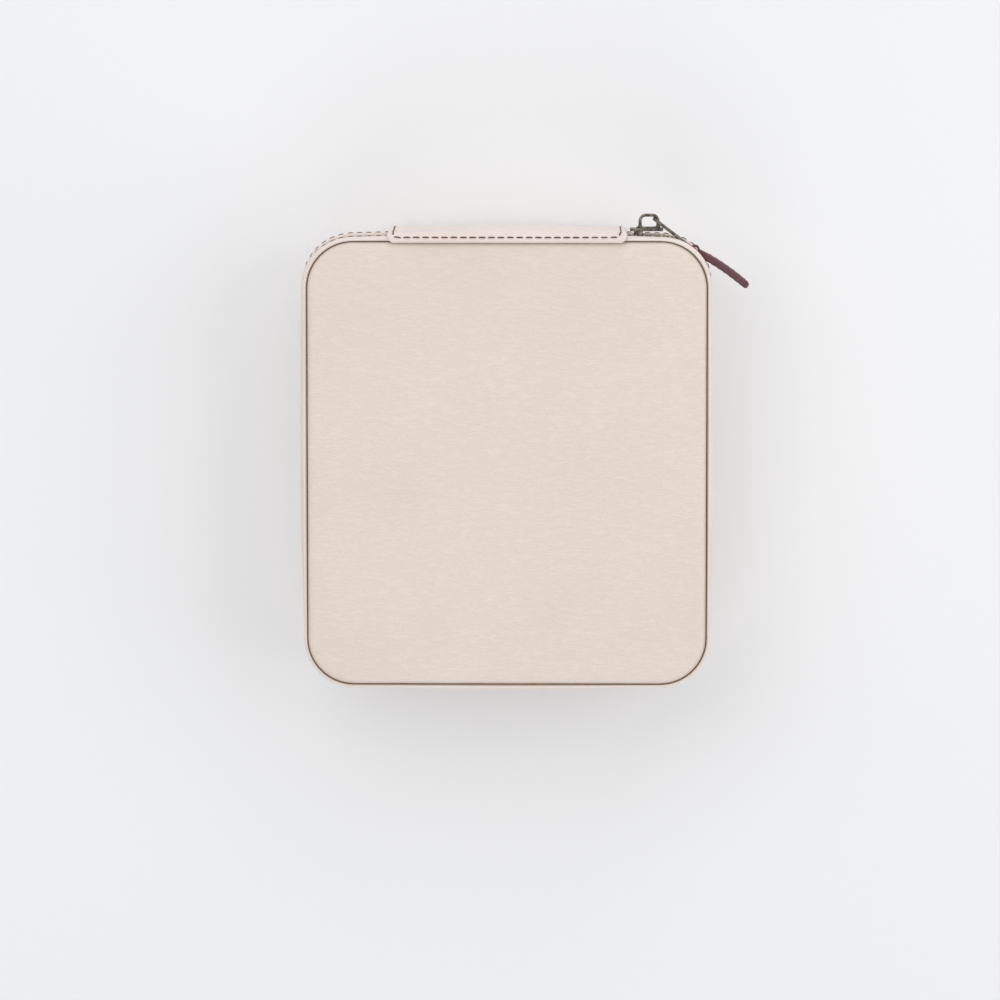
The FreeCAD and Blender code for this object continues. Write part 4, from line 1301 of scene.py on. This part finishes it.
def make_mirror_stitches():
    """Row of stitches along the middle of the mirror's rim."""
    low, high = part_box("mirror_rim")
    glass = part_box("mirror_glass")
    half_x = (high.x + glass[1].x) / 2
    half_y = (high.y + glass[1].y) / 2
    line = rounded_polygon([(half_x, -half_y), (half_x, half_y), (-half_x, half_y),
                            (-half_x, -half_y)], 4.0 * MM, 8)
    points = [Vector((x, y, low.z + 0.05 * MM)) for x, y in line]
    normals = [Vector((0, 0, -1))] * len(points)
    piece = stitch_row("mirror_stitches", walk(points, normals, STITCH_PITCH), "thread_cream",
                       radius=0.22 * MM)
    dress(piece, "lid", "cream_leather")


def keep_cad():
    """CAD nodes that keep their own shape and get a finished material."""
    looks = {"base_panel_foam": "foam", "lid_panel_foam": "foam", "mirror_glass": "mirror",
             "zip_end_stops": "metal"}
    for node, material in looks.items():
        NODES[node].data.materials.clear()
        NODES[node].data.materials.append(M[material])


# ---------------------------------------------------------------- studio

CAMERA_DISTANCE = 2.40
CAMERA_TILT = 6.2            # degrees from straight above, toward the spine
CAMERA_TURN = 0.5            # degrees toward the right side
FRAME_WIDTH = 0.3760         # metres across the picture at the lid's face
AIM = Vector((-2.6 * MM, -13.6 * MM, TOP))


def make_camera():
    """Camera nearly straight above, tilted a little toward the spine."""
    data = bpy.data.cameras.new("camera")
    data.sensor_width = 36.0
    data.lens = data.sensor_width * CAMERA_DISTANCE / FRAME_WIDTH
    camera = placed("camera", data)
    tilt, turn = math.radians(CAMERA_TILT), math.radians(CAMERA_TURN)
    back = Vector((math.sin(turn), math.sin(tilt), math.cos(tilt))).normalized()
    right = Vector((0, 1, 0)).cross(back).normalized()
    up = back.cross(right)
    turn_matrix = Matrix([[right[i], up[i], back[i]] for i in range(3)]).to_4x4()
    camera.matrix_world = Matrix.Translation(AIM + back * CAMERA_DISTANCE) @ turn_matrix
    bpy.context.scene.camera = camera


def make_studio():
    """Wide pale floor, soft lights and an even pale sky."""
    size = 6.0
    verts = [(-size, -size, 0), (size, -size, 0), (size, size, 0), (-size, size, 0)]
    floor = new_piece("floor", verts, [(0, 1, 2, 3)], "floor", smooth=False)
    # Name, place and width in metres, and power in watts.
    for name, place, width, power in (("key", (-0.9, 0.9, 1.7), 1.8, 11.0),
                                      ("fill", (1.5, 0.1, 1.1), 1.8, 10.0),
                                      ("back", (0.3, 1.8, 0.9), 1.6, 7.0),
                                      ("front", (-0.3, -1.9, 1.1), 1.8, 9.0)):
        light = bpy.data.lights.new(name, "AREA")
        light.shape = "SQUARE"
        light.size = width
        light.energy = power
        lamp = placed(name, light)
        lamp.location = place
        lamp.rotation_euler = (-Vector(place)).to_track_quat("-Z", "Y").to_euler()
    world = bpy.data.worlds.new("studio")
    world.use_nodes = True
    background = world.node_tree.nodes["Background"]
    background.inputs["Color"].default_value = (0.93, 0.945, 0.96, 1)
    background.inputs["Strength"].default_value = 0.60
    bpy.context.scene.world = world
    bpy.context.scene.view_settings.view_transform = "Standard"


keep_cad()
for half in ("base", "lid"):
    make_panel(half)
    make_wall(half)
    make_wall_board(half)
    make_panel_board(half)
    make_wall_stitches(half)
    make_tape(half)
    make_coil(half)
make_spine()
make_spine_stitches()
make_spine_lining()
make_slider()
make_bail()
make_link()
make_pull()
make_pull_stitches()
make_inside()
make_mirror_stitches()
make_rolls()
make_camera()
make_studio()
